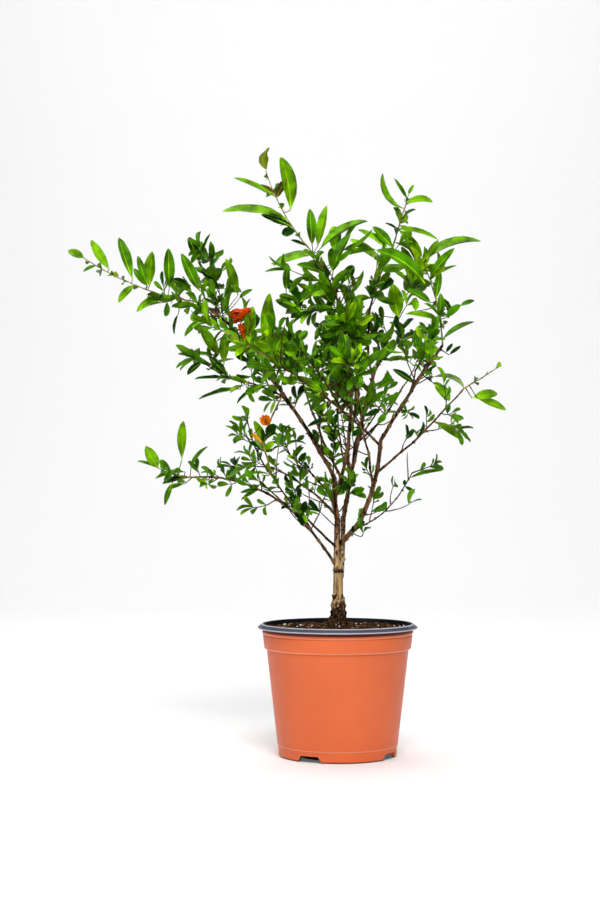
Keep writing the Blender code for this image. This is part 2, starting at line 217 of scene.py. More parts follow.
# name: what it grows from, how far along that, tip, bow, foot radius, tip radius, side twigs
BOUGHS = {
    "stem_middle": ("trunk", 1, (-2, 4, 292), (-2, 0, 0), 2.7, 2.3, 2),
    "bough_left": ("stem_middle", 1, (-81, 13, 413), (3, 0, 3), 2.1, 1.7, 4),
    "bough_left_upper": ("bough_left", 1, (-153, 20, 485), (3, 0, 8), 1.7, 1.2, 3),
    "bough_left_side": ("bough_left", 0.72, (-99, 30, 398), (-3, 0, 3), 1.1, 0.8, 0),
    "leader": ("stem_middle", 0.55, (9, 17, 449), (11, 0, -4), 2.0, 1.4, 2),
    "bough_top": ("leader", 1, (-26, 17, 537), (6, 0, 2), 1.4, 1.0, 3),
    "stem_right": ("trunk", 1, (41, 38, 410), (-2, 0, 2), 2.4, 1.7, 3),
    "stem_right_upper": ("stem_right", 1, (69, 55, 482), (0, 0, -2), 1.7, 1.2, 2),
    "bough_top_right": ("stem_right", 0.96, (61, 58, 545), (-14, -4, 0), 1.2, 0.9, 2),
    "bough_right": ("trunk", 0.78, (45, -22, 334), (9, 0, -9), 2.9, 2.0, 2),
    "bough_right_upper": ("bough_right", 1, (110, -27, 434), (-3, 0, -2), 2.0, 1.4, 3),
    "bough_right_outer": ("bough_right", 0.75, (130, -49, 387), (-1, 0, -5), 1.3, 0.8, 3),
    "bough_cross": ("bough_right", 0.96, (-71, -56, 417), (4, -4, 3), 1.3, 0.8, 5),
    "bough_low_left": ("trunk", 0.5, (-154, -43, 295), (9, 0, 29), 1.6, 0.9, 6),
    "bough_low_inner": ("bough_low_left", 0.22, (-74, -25, 302), (1, 0, -2), 1.0, 0.8, 4),
    "bough_low_back": ("stem_middle", 0.12, (-70, 36, 306), (2, 0, 5), 1.3, 0.8, 3),
    "bough_low_upper": ("stem_middle", 0.5, (-50, 19, 318), (0, 0, 4), 1.1, 0.7, 3),
    "bough_low_right": ("bough_right", 0.2, (81, 26, 300), (4, 0, -9), 0.9, 0.6, 4),
    "bough_back_left": ("leader", 0.14, (-36, 72, 398), (0, 8, -8), 1.5, 1.0, 2),
    "bough_back_right": ("stem_right", 0.52, (74, 80, 396), (2, 4, -6), 1.4, 1.0, 2),
    "bough_back": ("stem_right", 0.3, (18, 74, 372), (-3, 10, -8), 1.3, 0.9, 2),
    "bough_front": ("bough_right", 0.62, (18, -72, 384), (2, -10, -10), 1.3, 0.9, 2),
    "bough_front_right": ("bough_right_upper", 0.3, (78, -74, 404), (2, -8, -6), 1.1, 0.8, 2),
}

# name: what its stem grows from, how far along that, tip, bow, widest radius, depth share,
# then leaf length, side shoots, kind of greens, and where it isn't the usual, its bare share
LEAF_MASSES = {
    "leaves_left_tip": ("bough_left_upper", 1, (-274, 28, 533), (0, 0, -8), 21, 0.9, 23, 0, "lit"),
    "leaves_upper_left": ("bough_left_upper", 0.62, (-147, 44, 552), (4, 4, 0), 23, 1, 25, 9, "dim"),
    "leaves_left_flower": ("bough_left_upper", 0.1, (-92, 4, 438), (0, 0, 0), 19, 0.9, 26, 2, "lit"),
    "leaves_left_side": ("bough_left_side", 1, (-158, 46, 432), (0, 0, -6), 26, 1.1, 28, 3, "mix"),
    "leaves_cross_tip": ("bough_cross", 1, (-148, -68, 463), (0, 0, 0), 19, 1.1, 22, 3, "lit"),
    "leaves_middle_left": ("leader", 0.66, (-66, -14, 448), (0, 0, -6), 25, 1.1, 31, 5, "mix"),
    "leaves_middle": ("leader", 0.93, (-2, -30, 478), (6, -8, -4), 24, 1.1, 32, 5, "mix", 0.2),
    "leaves_middle_back": ("leader", 0.8, (-12, 72, 462), (0, 2, -4), 24, 1, 30, 5, "dim"),
    "leaves_middle_high": ("bough_top", 0.3, (-56, 22, 472), (0, 0, 0), 15, 1, 27, 3, "mix"),
    "leaves_low_middle": ("leader", 0.3, (-22, -18, 372), (0, 0, -2), 11, 1, 16, 0, "mix", 0.4),
    "leaves_top": ("bough_top", 1, (-77, 12, 626), (-5, 0, -3), 20, 1, 28, 0, "lit"),
    "leaves_top_left": ("bough_top", 0.62, (-70, 4, 528), (0, 0, -4), 17, 1, 32, 0, "lit", 0.3),
    "leaves_upper_middle": ("bough_top", 0.8, (18, 24, 568), (4, 0, -6), 21, 1.1, 38, 0, "lit", 0.35),
    "leaves_top_right": ("bough_top_right", 1, (80, 64, 608), (0, 0, 0), 25, 1, 28, 1, "lit"),
    "leaves_right_shoot": ("bough_right_upper", 1, (90, -28, 521), (4, 0, 0), 33, 1, 28, 2, "lit"),
    "leaves_right_middle": ("bough_right_upper", 0.62, (64, -22, 462), (-3, 6, 0), 21, 1, 22, 0, "mix", 0.5),
    "leaves_right_back": ("stem_right_upper", 1, (96, 56, 546), (4, 0, 0), 17, 1, 34, 3, "lit", 0.2),
    "leaves_right_inner": ("bough_top_right", 0.5, (44, 12, 538), (0, -4, -4), 15, 0.9, 32, 2, "lit"),
    "leaves_right_tip": ("bough_right_outer", 1, (169, -58, 411), (0, 0, 0), 14, 1, 20, 0, "lit"),
    "leaves_right_low": ("bough_right_outer", 0.66, (132, -44, 334), (4, 0, 4), 8, 1, 19, 0, "lit", 0.5),
    "leaves_low_right": ("bough_low_right", 1, (112, 34, 312), (2, 0, 0), 10, 1, 15, 0, "mix"),
    "leaves_low_left_tip": ("bough_low_left", 1, (-188, -50, 305), (0, 0, -2), 26, 1, 19, 1, "lit"),
    "leaves_low_flower": ("bough_low_inner", 1, (-96, -30, 362), (-4, 0, 0), 25, 1, 19, 4, "mix"),
    "leaves_low_back": ("bough_low_back", 1, (-126, 50, 304), (0, 0, 2), 21, 1.2, 18, 2, "mix", 0.3),
    "leaves_low_upper": ("bough_low_upper", 1, (-60, 26, 352), (-2, 0, 0), 12, 1, 16, 2, "mix", 0.2),
    "leaves_low_under": ("bough_low_left", 0.4, (-30, -46, 259), (0, -2, -2), 9, 1, 18, 2, "mix", 0.2),
    "leaves_fork": ("stem_right", 0.16, (16, -22, 298), (0, 0, -2), 9, 1, 18, 3, "mix"),
    "leaves_back_left": ("bough_back_left", 1, (-80, 116, 474), (0, 6, -2), 33, 1.1, 31, 6, "mix", 0.3),
    "leaves_back_right": ("bough_back_right", 1, (98, 122, 456), (4, 6, -4), 31, 1.1, 29, 3, "mix", 0.6),
    "leaves_back": ("bough_back", 1, (14, 132, 418), (0, 4, -4), 27, 1.1, 29, 5, "mix", 0.3),
    "leaves_front": ("bough_front", 1, (2, -122, 432), (0, -4, -6), 29, 1.1, 29, 3, "mix", 0.5),
    "leaves_front_right": ("bough_front_right", 1, (92, -118, 452), (2, -4, -4), 25, 1.1, 23, 1, "mix", 0.65),
}
BARE_SHARE = 0.12  # of the stem of a mass whose row names none
SWELL_LEAN = 0.75  # as in the part: where a mass is widest, how blunt it is, and its tip
SWELL_BLUNTNESS = 0.8
TIP_SHARE = 0.97

# Greens that sprays are dealt, on the lit outside of the crown, mixed inside it, and in its shade
SPRAY_TONES = {
    "lit": ("bright", "bright", "mid", "lime"),
    "mix": ("mid", "bright", "dark", "mid", "bright", "dark", "lime"),
    "dim": ("dark", "mid", "bright"),
}

# Shoots: how far they stray from a spiral, their angles to the limb, how steeply they rise
SHOOTS = {
    "mass": (0.4, (42, 70), 0.18),
    "spray": (0.4, (40, 70), 0.2),
    "twig": (0.5, (38, 66), 0.25),
    "thin stem": (0.5, (16, 38), 0.45),
}
LAST_SHOOT_SHARE = 0.94  # how far up a limb side shoots start
TWIG_LENGTHS = (14, 46)
THIN_STEM_LENGTHS = (45, 95)
BARE_TWIGS = 0.35  # share of the twigs that have no leaves
PAIRLESS_TWIGS = 0.75  # and of those that have leaves at most round the tip
MISSING_LEAVES = 0.14  # share of the leaves in pairs
# Radii at foot and tip of side shoots, twigs, thin stems and the twigs of leading leaves
SPRAY_RADII = (0.62, 0.42)
TWIG_RADII = (0.72, 0.45)
THIN_STEM_RADII = (1.0, 0.5)
LEAF_TWIG_RADII = (0.55, 0.4)

# Leaves that stand against the sky: place along the stem, angle in the photo's plane,
# length, width as seen, turn from foot to tip, green, and where the foot stands off the stem
LEADING_LEAVES = {
    "leaves_top": (
        (0.09, 160, 19, 4, 10, "dark"),
        (0.29, -175, 15, 11, 0, "dark"),
        (0.34, 160, 36, 9, 15, "dark"),
        (0.43, 174, 71, 11, 30, "bright"),
        (0.52, 101, 56, 16, 25, "bright", (7, 3)),
        (0.69, 58, 22, 9, -20, "bronze"),
        (0.70, 158, 48, 6, 5, "bright"),
        (0.73, 155, 22, 8, 20, "bronze"),
    ),
    "bough_top": (
        (0.50, 100, 17, 4.5, 30, "bronze", (20, 2)),
        (0.73, 144, 24, 13, 0, "pale"),
        (0.73, 164, 33, 9, 20, "mid"),
        (0.73, 63, 47, 10, -10, "mid", (5, 2)),
        (0.77, 38, 18, 6, -10, "mid", (15, 9)),
        (0.98, -164, 46, 10, 35, "bright"),
        (0.99, 31, 60, 8, -25, "bright", (7, 5)),
        (1.00, 94, 38, 11, 0, "mid", (-1, 8)),
        (1.00, 77, 43, 10, 0, "bright", (5, 7)),
    ),
    "leaves_middle_high": (
        (0.68, 115, 20, 9, 0, "dark", (-1, 7)),
        (0.71, 40, 38, 9, 10, "mid", (-1, 11)),
        (0.95, 86, 28, 8, 0, "mid", (-2, 25)),
    ),
    "leaves_top_right": (
        (0.02, 148, 39, 8, 15, "bright", (-5, 1)),
        (0.05, 134, 32, 10, 10, "mid"),
        (0.15, -29, 30, 4, -10, "mid"),
        (0.37, 153, 16, 3, 0, "dark"),
        (0.38, -49, 40, 10, -10, "bright"),
        (0.38, -13, 46, 7, -20, "bright"),
        (0.75, 122, 46, 7, -110, "bright"),
        (0.80, 8, 31, 8, -80, "bright"),
        (0.92, 124, 26, 5, -10, "mid"),
        (1.00, 60, 12, 4, -10, "bright"),
    ),
    "bough_top_right": ((0.89, 142, 44, 10, 10, "bright", (-3, 2)),),
    "leaves_right_shoot": (
        (0.07, 29, 39, 4, -15, "mid"),
        (0.23, -165, 28, 7, -10, "dark"),
        (0.29, 169, 37, 7, 20, "bright"),
        (0.32, 41, 21, 8, -10, "mid", (6, 1)),
        (0.42, 22, 17, 5, -10, "mid", (23, 5)),
        (0.47, 99, 14, 8, 0, "bright", (-23, -5)),
        (0.54, 151, 28, 8, 10, "mid", (-6, -2)),
        (0.55, 82, 31, 8, 0, "mid"),
        (0.56, -58, 24, 6, -120, "dark"),
        (0.77, 146, 62, 14, 45, "mid", (-6, -2)),
        (0.79, 29, 32, 3, -15, "mid"),
        (0.81, 50, 40, 9, -10, "mid"),
        (1.00, 20, 63, 9, -40, "bright", (3, 3)),
        (1.00, 57, 24, 6, -10, "bright", (3, 4)),
    ),
    "bough_right_upper": (
        (0.61, 149, 29, 7, 10, "dark"),
        (0.71, -50, 25, 11, -10, "bright", (12, -9)),
        (0.74, -20, 34, 5, -60, "pale", (9, -6)),
        (0.77, 57, 18, 7, 0, "mid", (-8, 6)),
        (0.97, 52, 12, 4, 0, "dark", (6, -4)),
        (0.97, 37, 16, 4, 0, "dark", (9, -7)),
    ),
    "leaves_right_tip": (
        (0.05, 9, 27, 10, -20, "bright", (7, -11)),
        (0.15, -21, 32, 8, -15, "bright", (9, -14)),
    ),
    "bough_right_outer": ((0.68, -33, 32, 8, -20, "bright", (2, -3)),),
    "bough_low_right": (
        (0.84, -32, 13, 4, 0, "dark"),
        (0.84, 89, 7, 4, 0, "dark"),
        (0.94, 13, 35, 4, -10, "mid"),
    ),
    "leaves_left_tip": (
        (0.05, 145, 26, 10, 10, "dark", (2, 10)),
        (0.13, -101, 22, 3, 10, "dark", (-3, -16)),
        (0.23, -154, 39, 9, 35, "bright"),
        (0.25, 91, 43, 12, 0, "mid", (2, 8)),
        (0.43, 85, 37, 13, 0, "bright", (2, 5)),
        (0.44, 128, 25, 8, -10, "mid", (1, 4)),
        (0.45, 108, 31, 8, -10, "mid", (2, 6)),
        (0.54, -135, 26, 8, 30, "bright"),
        (0.58, 109, 50, 11, -5, "mid", (2, 4)),
        (0.79, 122, 38, 10, -10, "bright", (2, 3)),
        (0.89, -158, 16, 4, 30, "mid"),
        (1.00, 155, 20, 9, 10, "bright"),
    ),
    "leaves_upper_left": (
        (0.44, 116, 45, 12, 0, "mid", (-20, -5)),
        (0.64, 56, 25, 5, -10, "mid", (-5, -2)),
        (0.79, 112, 31, 10, 0, "dark", (-11, -4)),
        (0.79, 68, 32, 4, -10, "dark", (-10, -4)),
    ),
    "bough_left_upper": (
        (0.64, 35, 17, 5, -30, "mid", (19, 22)),
        (0.66, 109, 40, 10, 5, "bright", (19, 24)),
        (0.85, -131, 24, 6, 20, "mid", (-8, -13)),
    ),
    "leaves_left_side": (
        (0.07, -167, 47, 5, 15, "mid", (-2, -8)),
        (0.25, -179, 40, 4, 10, "dark"),
        (0.49, 88, 35, 11, 0, "bright", (5, 10)),
        (0.68, 123, 37, 12, -10, "bright", (10, 14)),
        (0.70, 177, 39, 5, 10, "mid", (8, 11)),
        (0.80, -140, 22, 7, 20, "dark"),
    ),
    "bough_left_side": ((0.72, -137, 24, 4, 20, "dark", (-1, -5)),),
    "leaves_left_flower": (
        (0.44, 86, 58, 14, 0, "bright", (13, 4)),
        (1.00, 85, 42, 13, 0, "bright", (-2.5, -1)),
    ),
    "bough_cross": (
        (0.60, 149, 32, 9, 8, "bright", (4, -1)),
        (0.89, 138, 40, 9, 5, "bright"),
    ),
    "leaves_low_left_tip": (
        (0.02, 51, 28, 3, -20, "mid", (1, 10)),
        (0.19, -167, 32, 5, 15, "mid", (1, 5)),
        (0.38, 88, 40, 10, 0, "bright", (4, 17)),
        (0.49, -108, 24, 6, 10, "mid", (-2, -9)),
        (0.98, 119, 26, 12, -10, "bright"),
        (1.00, 162, 22, 3, 0, "mid"),
    ),
    "bough_low_left": (
        (0.60, -170, 20, 4, 10, "mid"),
        (0.60, -150, 22, 4, 10, "mid"),
        (1.00, -167, 31, 6, 20, "dark"),
    ),
    "leaves_low_flower": (
        (0.21, -148, 27, 5, 10, "mid", (-11, -6)),
        (0.40, 124, 21, 8.5, 5, "pale", (10, -3)),
        (0.42, 116, 26, 9, 0, "bright", (10, 4)),
        (0.48, 67, 16, 11, 0, "dark", (15, 6)),
    ),
    "bough_low_upper": (
        (0.82, 50, 13, 6, 0, "dark"),
        (0.95, 55, 13, 4, -10, "mid", (2, 3)),
        (1.00, 53, 14, 4, 0, "mid", (-9, 14)),
        (1.00, 10, 25, 3, -70, "mid", (-8, 9)),
    ),
    "bough_low_inner": ((0.95, -167, 37, 4, 50, "mid"),),
    "bough_left": (
        (0.74, -122, 16, 3, 15, "bright", (-12, -6)),
        (0.74, -112, 17, 3.5, 10, "lime", (-7, -5)),
    ),
    "leader": (
        (0.24, 135, 21, 7, 0, "bright", (-11, 3)),
        (0.35, 108, 17, 11, 0, "dark", (-15, 2)),
        (0.50, -168, 36, 6, 20, "dark", (-11, 0)),
    ),
    "leaves_right_inner": ((0.01, 100, 37, 17, 0, "bright", (31, -6)),),
}

# Flowers: foot of the calyx, its open end, widest radius, colour, limb of the stalk, share
FLOWERS = (
    ((-92.5, -14, 473.5), (-109.5, -17, 465.0), 8.0, "red", "bough_left_upper", 0.22),
    ((-98.5, -14, 441.5), (-102.5, -17, 455.5), 3.8, "red", "bough_left_upper", 0.12),
    ((-73, -20, 351.0), (-77, -32, 355.5), 6.0, "orange", "bough_left", 0.74),
    ((-79.5, -40, 331.5), (-88.0, -43, 339.0), 2.3, "yellow", "bough_low_inner", 0.9),
)
FLOWER_CLEARANCE = 9.0  # how near a flower no leaf hangs in front of it
BLOSSOM_COLOURS = {
    "red": ((0.13, 0.012, 0.001), (0.80, 0.075, 0.001)),
    "orange": ((0.90, 0.085, 0.001), (1.0, 0.32, 0.002)),
    "yellow": ((0.80, 0.16, 0.003), (1.0, 0.52, 0.02)),
}
PETALS = 6
PETAL_GRID = 9
CALYX_SIDES = 48
CALYX_WALL = 0.9
# A calyx from the stalk through the swollen seed case and the neck to the flaring lobes
CALYX_PLACES = (0, 0.08, 0.3, 0.5, 0.66, 0.85, 1.0)
CALYX_RADII = (0.20, 0.34, 0.46, 0.58, 0.76, 0.94, 0.90)
STAMENS = 26
STAMEN_PLACES = (0, 0.5, 0.86, 0.92, 0.97, 1.0)
STAMEN_RADII = (0.12, 0.12, 0.12, 0.34, 0.34, 0.12)

# Buds: foot, tip, widest radius, how the beak bends
BUDS = (
    ((-76, 12, 627), (-73, 11, 650), 5.2, (-4.5, 0, 0)),
    ((-243, 25, 515), (-236, 24, 513), 3.4, (0, 0, 0.6)),
)
BUD_SIDES = 36
BUD_STEPS = 22
BUD_PLACES = (0, 0.12, 0.35, 0.55, 0.72, 0.8, 0.93, 1.0)
BUD_RADII = (0.12, 0.5, 0.97, 0.95, 0.5, 0.3, 0.26, 0.1)

# Base colours of the leaves, by green
GREENS = {
    "lime": (0.25, 0.48, 0.002),
    "bright": (0.158, 0.385, 0.001),
    "mid": (0.066, 0.225, 0.001),
    "dark": (0.009, 0.055, 0.001),
    "pale": (0.18, 0.30, 0.05),
    "bronze": (0.12, 0.070, 0.010),
}

# Half width of a leaf along its length, as a share of the widest: long leaves and blunt small ones
LEAF_SHARES = np.array((0.0, 0.05, 0.14, 0.28, 0.44, 0.60, 0.75, 0.88, 0.96, 1.0))
LONG_OUTLINE = (0.10, 0.15, 0.50, 0.85, 1.0, 0.98, 0.82, 0.55, 0.27, 0.04)
BLUNT_OUTLINE = (0.10, 0.12, 0.28, 0.58, 0.86, 1.0, 0.97, 0.78, 0.46, 0.12)
LEAF_COLUMNS = np.array((-1.0, -0.5, 0.0, 0.5, 1.0))
LEAF_THICKNESS = 0.3
WIDEST_LEAF = 17.0
WIDTH_SHARE = 0.27  # width of a leaf, as a share of its length
RIB_FROM_LENGTH = 22  # shorter leaves have no raised rib
RIB_HALF_SHARES = (0.055, 0.012)  # half a rib's width at foot and tip, by leaf width
RIB_HEIGHT = 0.08

# Leafy side shoots on limbs: from and to (shares), how many, leaf length, reach, kind of greens
LIMB_SPRAYS = {
    "bough_left": (0.60, 1.0, 8, 22, 18, "mix"),
    "bough_left_upper": (0.0, 1.0, 18, 22, 18, "dim"),
    "leaves_left_tip": (0.0, 0.30, 5, 21, 12, "mix"),
    "leaves_low_flower": (0.0, 0.55, 4, 18, 15, "mix"),
    "bough_left_side": (0.4, 1.0, 4, 20, 14, "mix"),
    "bough_cross": (0.4, 1.0, 7, 24, 18, "mix"),
    "leader": (0.5, 1.0, 8, 29, 22, "mix"),
    "bough_top": (0.0, 0.65, 10, 28, 18, "mix"),
    "leaves_middle_high": (0.0, 0.6, 6, 27, 18, "mix"),
    "leaves_middle_left": (0.1, 1.0, 8, 27, 18, "mix"),
    "stem_right": (0.55, 1.0, 4, 27, 18, "mix"),
    "stem_right_upper": (0.0, 0.6, 5, 27, 16, "mix"),
    "bough_top_right": (0.0, 0.7, 7, 29, 16, "mix"),
    "bough_right": (0.05, 0.3, 2, 16, 9, "mix"),
    "bough_right_upper": (0.5, 0.95, 2, 20, 12, "mix"),
    "bough_right_outer": (0.3, 0.9, 3, 16, 12, "mix"),
    "bough_low_left": (0.62, 1.0, 8, 17, 10, "mix"),
    "bough_low_inner": (0.3, 1.0, 2, 16, 12, "mix"),
    "bough_low_back": (0.3, 1.0, 2, 16, 12, "mix"),
    "bough_low_upper": (0.4, 1.0, 2, 15, 10, "mix"),
    "stem_middle": (0.1, 0.9, 4, 17, 12, "mix"),
}

# Slender stems beside the boughs: what each grows from, how far along, tip, bow, radii
SIDE_STEMS = (
    ("trunk", 0.72, (-33, -13, 252), (1, 0, -2), 1.5, 1.1),
    ("bough_low_left", 0.27, (-40, -6, 290), (-3, 0, -4), 0.8, 0.5),
    ("bough_low_left", 0.30, (-31, -18, 283), (3, 0, -3), 0.7, 0.5),
    ("bough_low_left", 0.24, (-12, -10, 284), (3, 0, 2), 0.7, 0.5),
    ("trunk", 0.92, (-18, -8, 258), (1, 0, -2), 0.7, 0.5),
    ("bough_right", 0.16, (27, -14, 236), (3, 0, -4), 0.6, 0.5),
)

# Long thin stems that rise among the limbs: how many, and between which shares they start
THIN_STEMS = {
    "stem_middle": (2, 0.1, 0.9),
    "leader": (3, 0.1, 0.7),
    "stem_right": (3, 0.1, 0.7),
    "bough_left": (2, 0.1, 0.6),
    "bough_low_left": (2, 0.15, 0.45),
    "bough_cross": (2, 0.1, 0.5),
}


class Pile:
    """Points and faces of many small shapes, which become one mesh."""

    def __init__(self):
        self.points = []
        self.faces = []
        self.count = 0

    def add(self, points, faces):
        start = self.count
        self.points.append(np.asarray(points, float).reshape(-1, 3))
        self.faces.extend(tuple(start + corner for corner in face) for face in faces)
        self.count += len(self.points[-1])


# Materials


class Nodes:
    """Short ways to wire a material's nodes."""

    def __init__(self, name, roughness, specular=0.5):
        self.material = bpy.data.materials.new(name)
        self.material.use_nodes = True
        self.tree = self.material.node_tree
        self.shader = self.tree.nodes["Principled BSDF"]
        self.shader.inputs["Roughness"].default_value = roughness
        self.shader.inputs["Specular IOR Level"].default_value = specular
        self.place = self.tree.nodes.new("ShaderNodeTexCoord").outputs["Object"]

    def make(self, kind, output, values, links, **settings):
        """An output of a new node, whose inputs are set to values or linked to other outputs."""
        node = self.tree.nodes.new("ShaderNode" + kind)
        for name, value in settings.items():
            setattr(node, name, value)
        for name, value in values.items():
            node.inputs[name].default_value = value
        for name, source in links.items():
            self.tree.links.new(source, node.inputs[name])
        return node.outputs[output]

    def noise(self, scale, detail, stretch=None):
        place = self.place
        if stretch:
            place = self.make("Mapping", "Vector", {"Scale": stretch}, {"Vector": place})
        return self.make("TexNoise", "Fac", {"Scale": scale, "Detail": detail}, {"Vector": place})

    def height(self):
        return self.make("SeparateXYZ", "Z", {}, {"Vector": self.place})

    def added(self, first, second, share=1.0):
        """The first value plus a share of the second."""
        return self.make("Math", "Value", {1: share}, {0: second, 2: first}, operation="MULTIPLY_ADD")

    def map_range(self, source, low, high, from_low=0.3, from_high=0.7):
        limits = {"From Min": from_low, "From Max": from_high, "To Min": low, "To Max": high}
        return self.make("MapRange", "Result", limits, {"Value": source})

    def mix(self, factor, first, second):
        links = {"Factor": factor, "A": first, "B": second}
        return self.make("Mix", "Result", {}, links, data_type="RGBA")

    def ramp(self, source, stops):
        """Colours along a value, from rows of (place, colour)."""
        node = self.tree.nodes.new("ShaderNodeValToRGB")
        while len(node.color_ramp.elements) < len(stops):
            node.color_ramp.elements.new(0.5)
        for element, (place, colour) in zip(node.color_ramp.elements, stops):
            element.position = place
            element.color = (*colour, 1.0)
        self.tree.links.new(source, node.inputs["Fac"])
        return node.outputs["Color"]

    def blend(self, source, low, high, places=(0.3, 0.7)):
        """From one colour to another, as a value rises between two places."""
        return self.ramp(source, ((places[0], low), (places[1], high)))

    def by_height(self, rows):
        """Colours by height over the floor, from rows of (height, colour)."""
        lowest, highest = rows[0][0], rows[-1][0]
        along = self.map_range(self.height(), 0.0, 1.0, lowest * MM, highest * MM)
        return self.ramp(along, [((z - lowest) / (highest - lowest), colour) for z, colour in rows])

    def finished(self, colour, roughness, relief, strength, depth):
        """The material, once these are wired to its shader."""
        bump = {"Strength": strength, "Distance": depth}
        normal = self.make("Bump", "Normal", bump, {"Height": relief})
        for name, source in {"Base Color": colour, "Roughness": roughness, "Normal": normal}.items():
            self.tree.links.new(source, self.shader.inputs[name])
        return self.material


def tinted(colour, factor):
    return tuple(min(1.0, value * factor) for value in colour)


def grey(value):
    return (value, value, value)


def leaf_material(name, colour, roughness=0.34):
    """Waxy leaf whose tone drifts from leaf to leaf, with a fine grain over it."""
    nodes = Nodes(name, roughness, 0.07)
    tone = nodes.blend(nodes.noise(62, 9), tinted(colour, 0.42), tinted(colour, 1.46), (0.36, 0.64))
    gloss = nodes.map_range(nodes.noise(300, 2), roughness - 0.06, roughness + 0.12)
    return nodes.finished(tone, gloss, nodes.noise(900, 3), 0.25, 0.0003)


def blossom_material(name, dark, light):
    """Waxy blossom with darker flecks."""
    nodes = Nodes(name, 0.5, 0.06)
    tone = nodes.blend(nodes.noise(700, 5), dark, light, (0.40, 0.58))
    gloss = nodes.map_range(nodes.noise(300, 2), 0.3, 0.55)
    return nodes.finished(tone, gloss, nodes.noise(900, 4), 0.4, 0.0003)


def terracotta_plastic():
    """Moulded terracotta-coloured plastic, with painted shadow, shade and highlights by height."""
    nodes = Nodes("terracotta_plastic", 0.45, 0.3)
    thin = nodes.by_height([(z, tinted(POT_COLOURS[kind], 0.92)) for z, kind in POT_SHADES])
    full = nodes.by_height([(z, tinted(POT_COLOURS[kind], 1.02)) for z, kind in POT_SHADES])
    tone = nodes.mix(nodes.map_range(nodes.noise(16, 5), 0.0, 1.0), thin, full)
    gloss = nodes.map_range(nodes.noise(90, 4), 0.38, 0.52)
    return nodes.finished(tone, gloss, nodes.noise(900, 2), 0.10, 0.0002)


def black_plastic(name, dark, light, highlight_rows=None):
    """Satin black plastic. The last argument lists heights and how far each takes a painted highlight."""
    nodes = Nodes(name, 0.45, 0.18)
    tone = nodes.blend(nodes.noise(60, 4), dark, light)
    if highlight_rows:
        # Painted highlights at the listed heights
        painted_highlight = nodes.by_height([(z, grey(share)) for z, share in highlight_rows])
        pale = nodes.blend(nodes.noise(60, 4), tinted(HIGHLIGHT_GREY, 0.9), tinted(HIGHLIGHT_GREY, 1.1))
        tone = nodes.mix(painted_highlight, tone, pale)
    gloss = nodes.map_range(nodes.noise(150, 3), 0.38, 0.52)
    return nodes.finished(tone, gloss, nodes.noise(700, 2), 0.12, 0.0002)


def soil_material(name, dark, light, scale=350):
    nodes = Nodes(name, 0.95, 0.1)
    tone = nodes.blend(nodes.noise(scale, 6), dark, light, (0.40, 0.66))
    gloss = nodes.map_range(nodes.noise(200, 3), 0.85, 1.0)
    return nodes.finished(tone, gloss, nodes.noise(scale * 3, 5), 0.7, 0.0006)


def bark_material(name, dark, light, scale=260):
    """Bark with long streaks up the limbs."""
    nodes = Nodes(name, 0.78, 0.08)
    tone = nodes.blend(nodes.noise(scale, 6, (1.0, 1.0, 0.18)), dark, light, (0.40, 0.62))
    gloss = nodes.map_range(nodes.noise(400, 3), 0.66, 0.9)
    return nodes.finished(tone, gloss, nodes.noise(scale * 3, 5, (1.0, 1.0, 0.3)), 0.6, 0.0004)


def trunk_material():
    """Tan bark with dark flecks, a soil-stained foot and a dark ring where the stems part."""
    nodes = Nodes("trunk_bark", 0.82, 0.2)
    streaks = nodes.noise(330, 6, (1.0, 1.0, 0.14))
    tan = nodes.blend(streaks, (0.17, 0.085, 0.030), (0.62, 0.41, 0.19), (0.36, 0.60))
    brown = nodes.blend(streaks, (0.05, 0.020, 0.008), (0.30, 0.165, 0.075), (0.34, 0.66))
    stain = nodes.blend(nodes.noise(520, 6), (0.005, 0.003, 0.002), (0.22, 0.095, 0.032), (0.50, 0.68))
    stained_by_height = nodes.by_height([(z, grey(share)) for z, share in TRUNK_STAINS])
    flecks = nodes.added(nodes.noise(380, 5, (1.0, 1.0, 0.6)), stained_by_height)
    uneven_height = nodes.added(nodes.height(), nodes.noise(90, 3), 0.04)
    fork = nodes.map_range(uneven_height, 0.0, 1.0, BROWN_FROM_Z * MM, BROWN_TO_Z * MM)
    stained = nodes.map_range(flecks, 0.0, 1.0, 0.62, 0.74)
    tone = nodes.mix(stained, nodes.mix(fork, tan, brown), stain)
    gloss = nodes.map_range(nodes.noise(420, 3), 0.7, 0.95)
    return nodes.finished(tone, gloss, nodes.noise(1000, 5, (1.0, 1.0, 0.4)), 0.6, 0.0004)


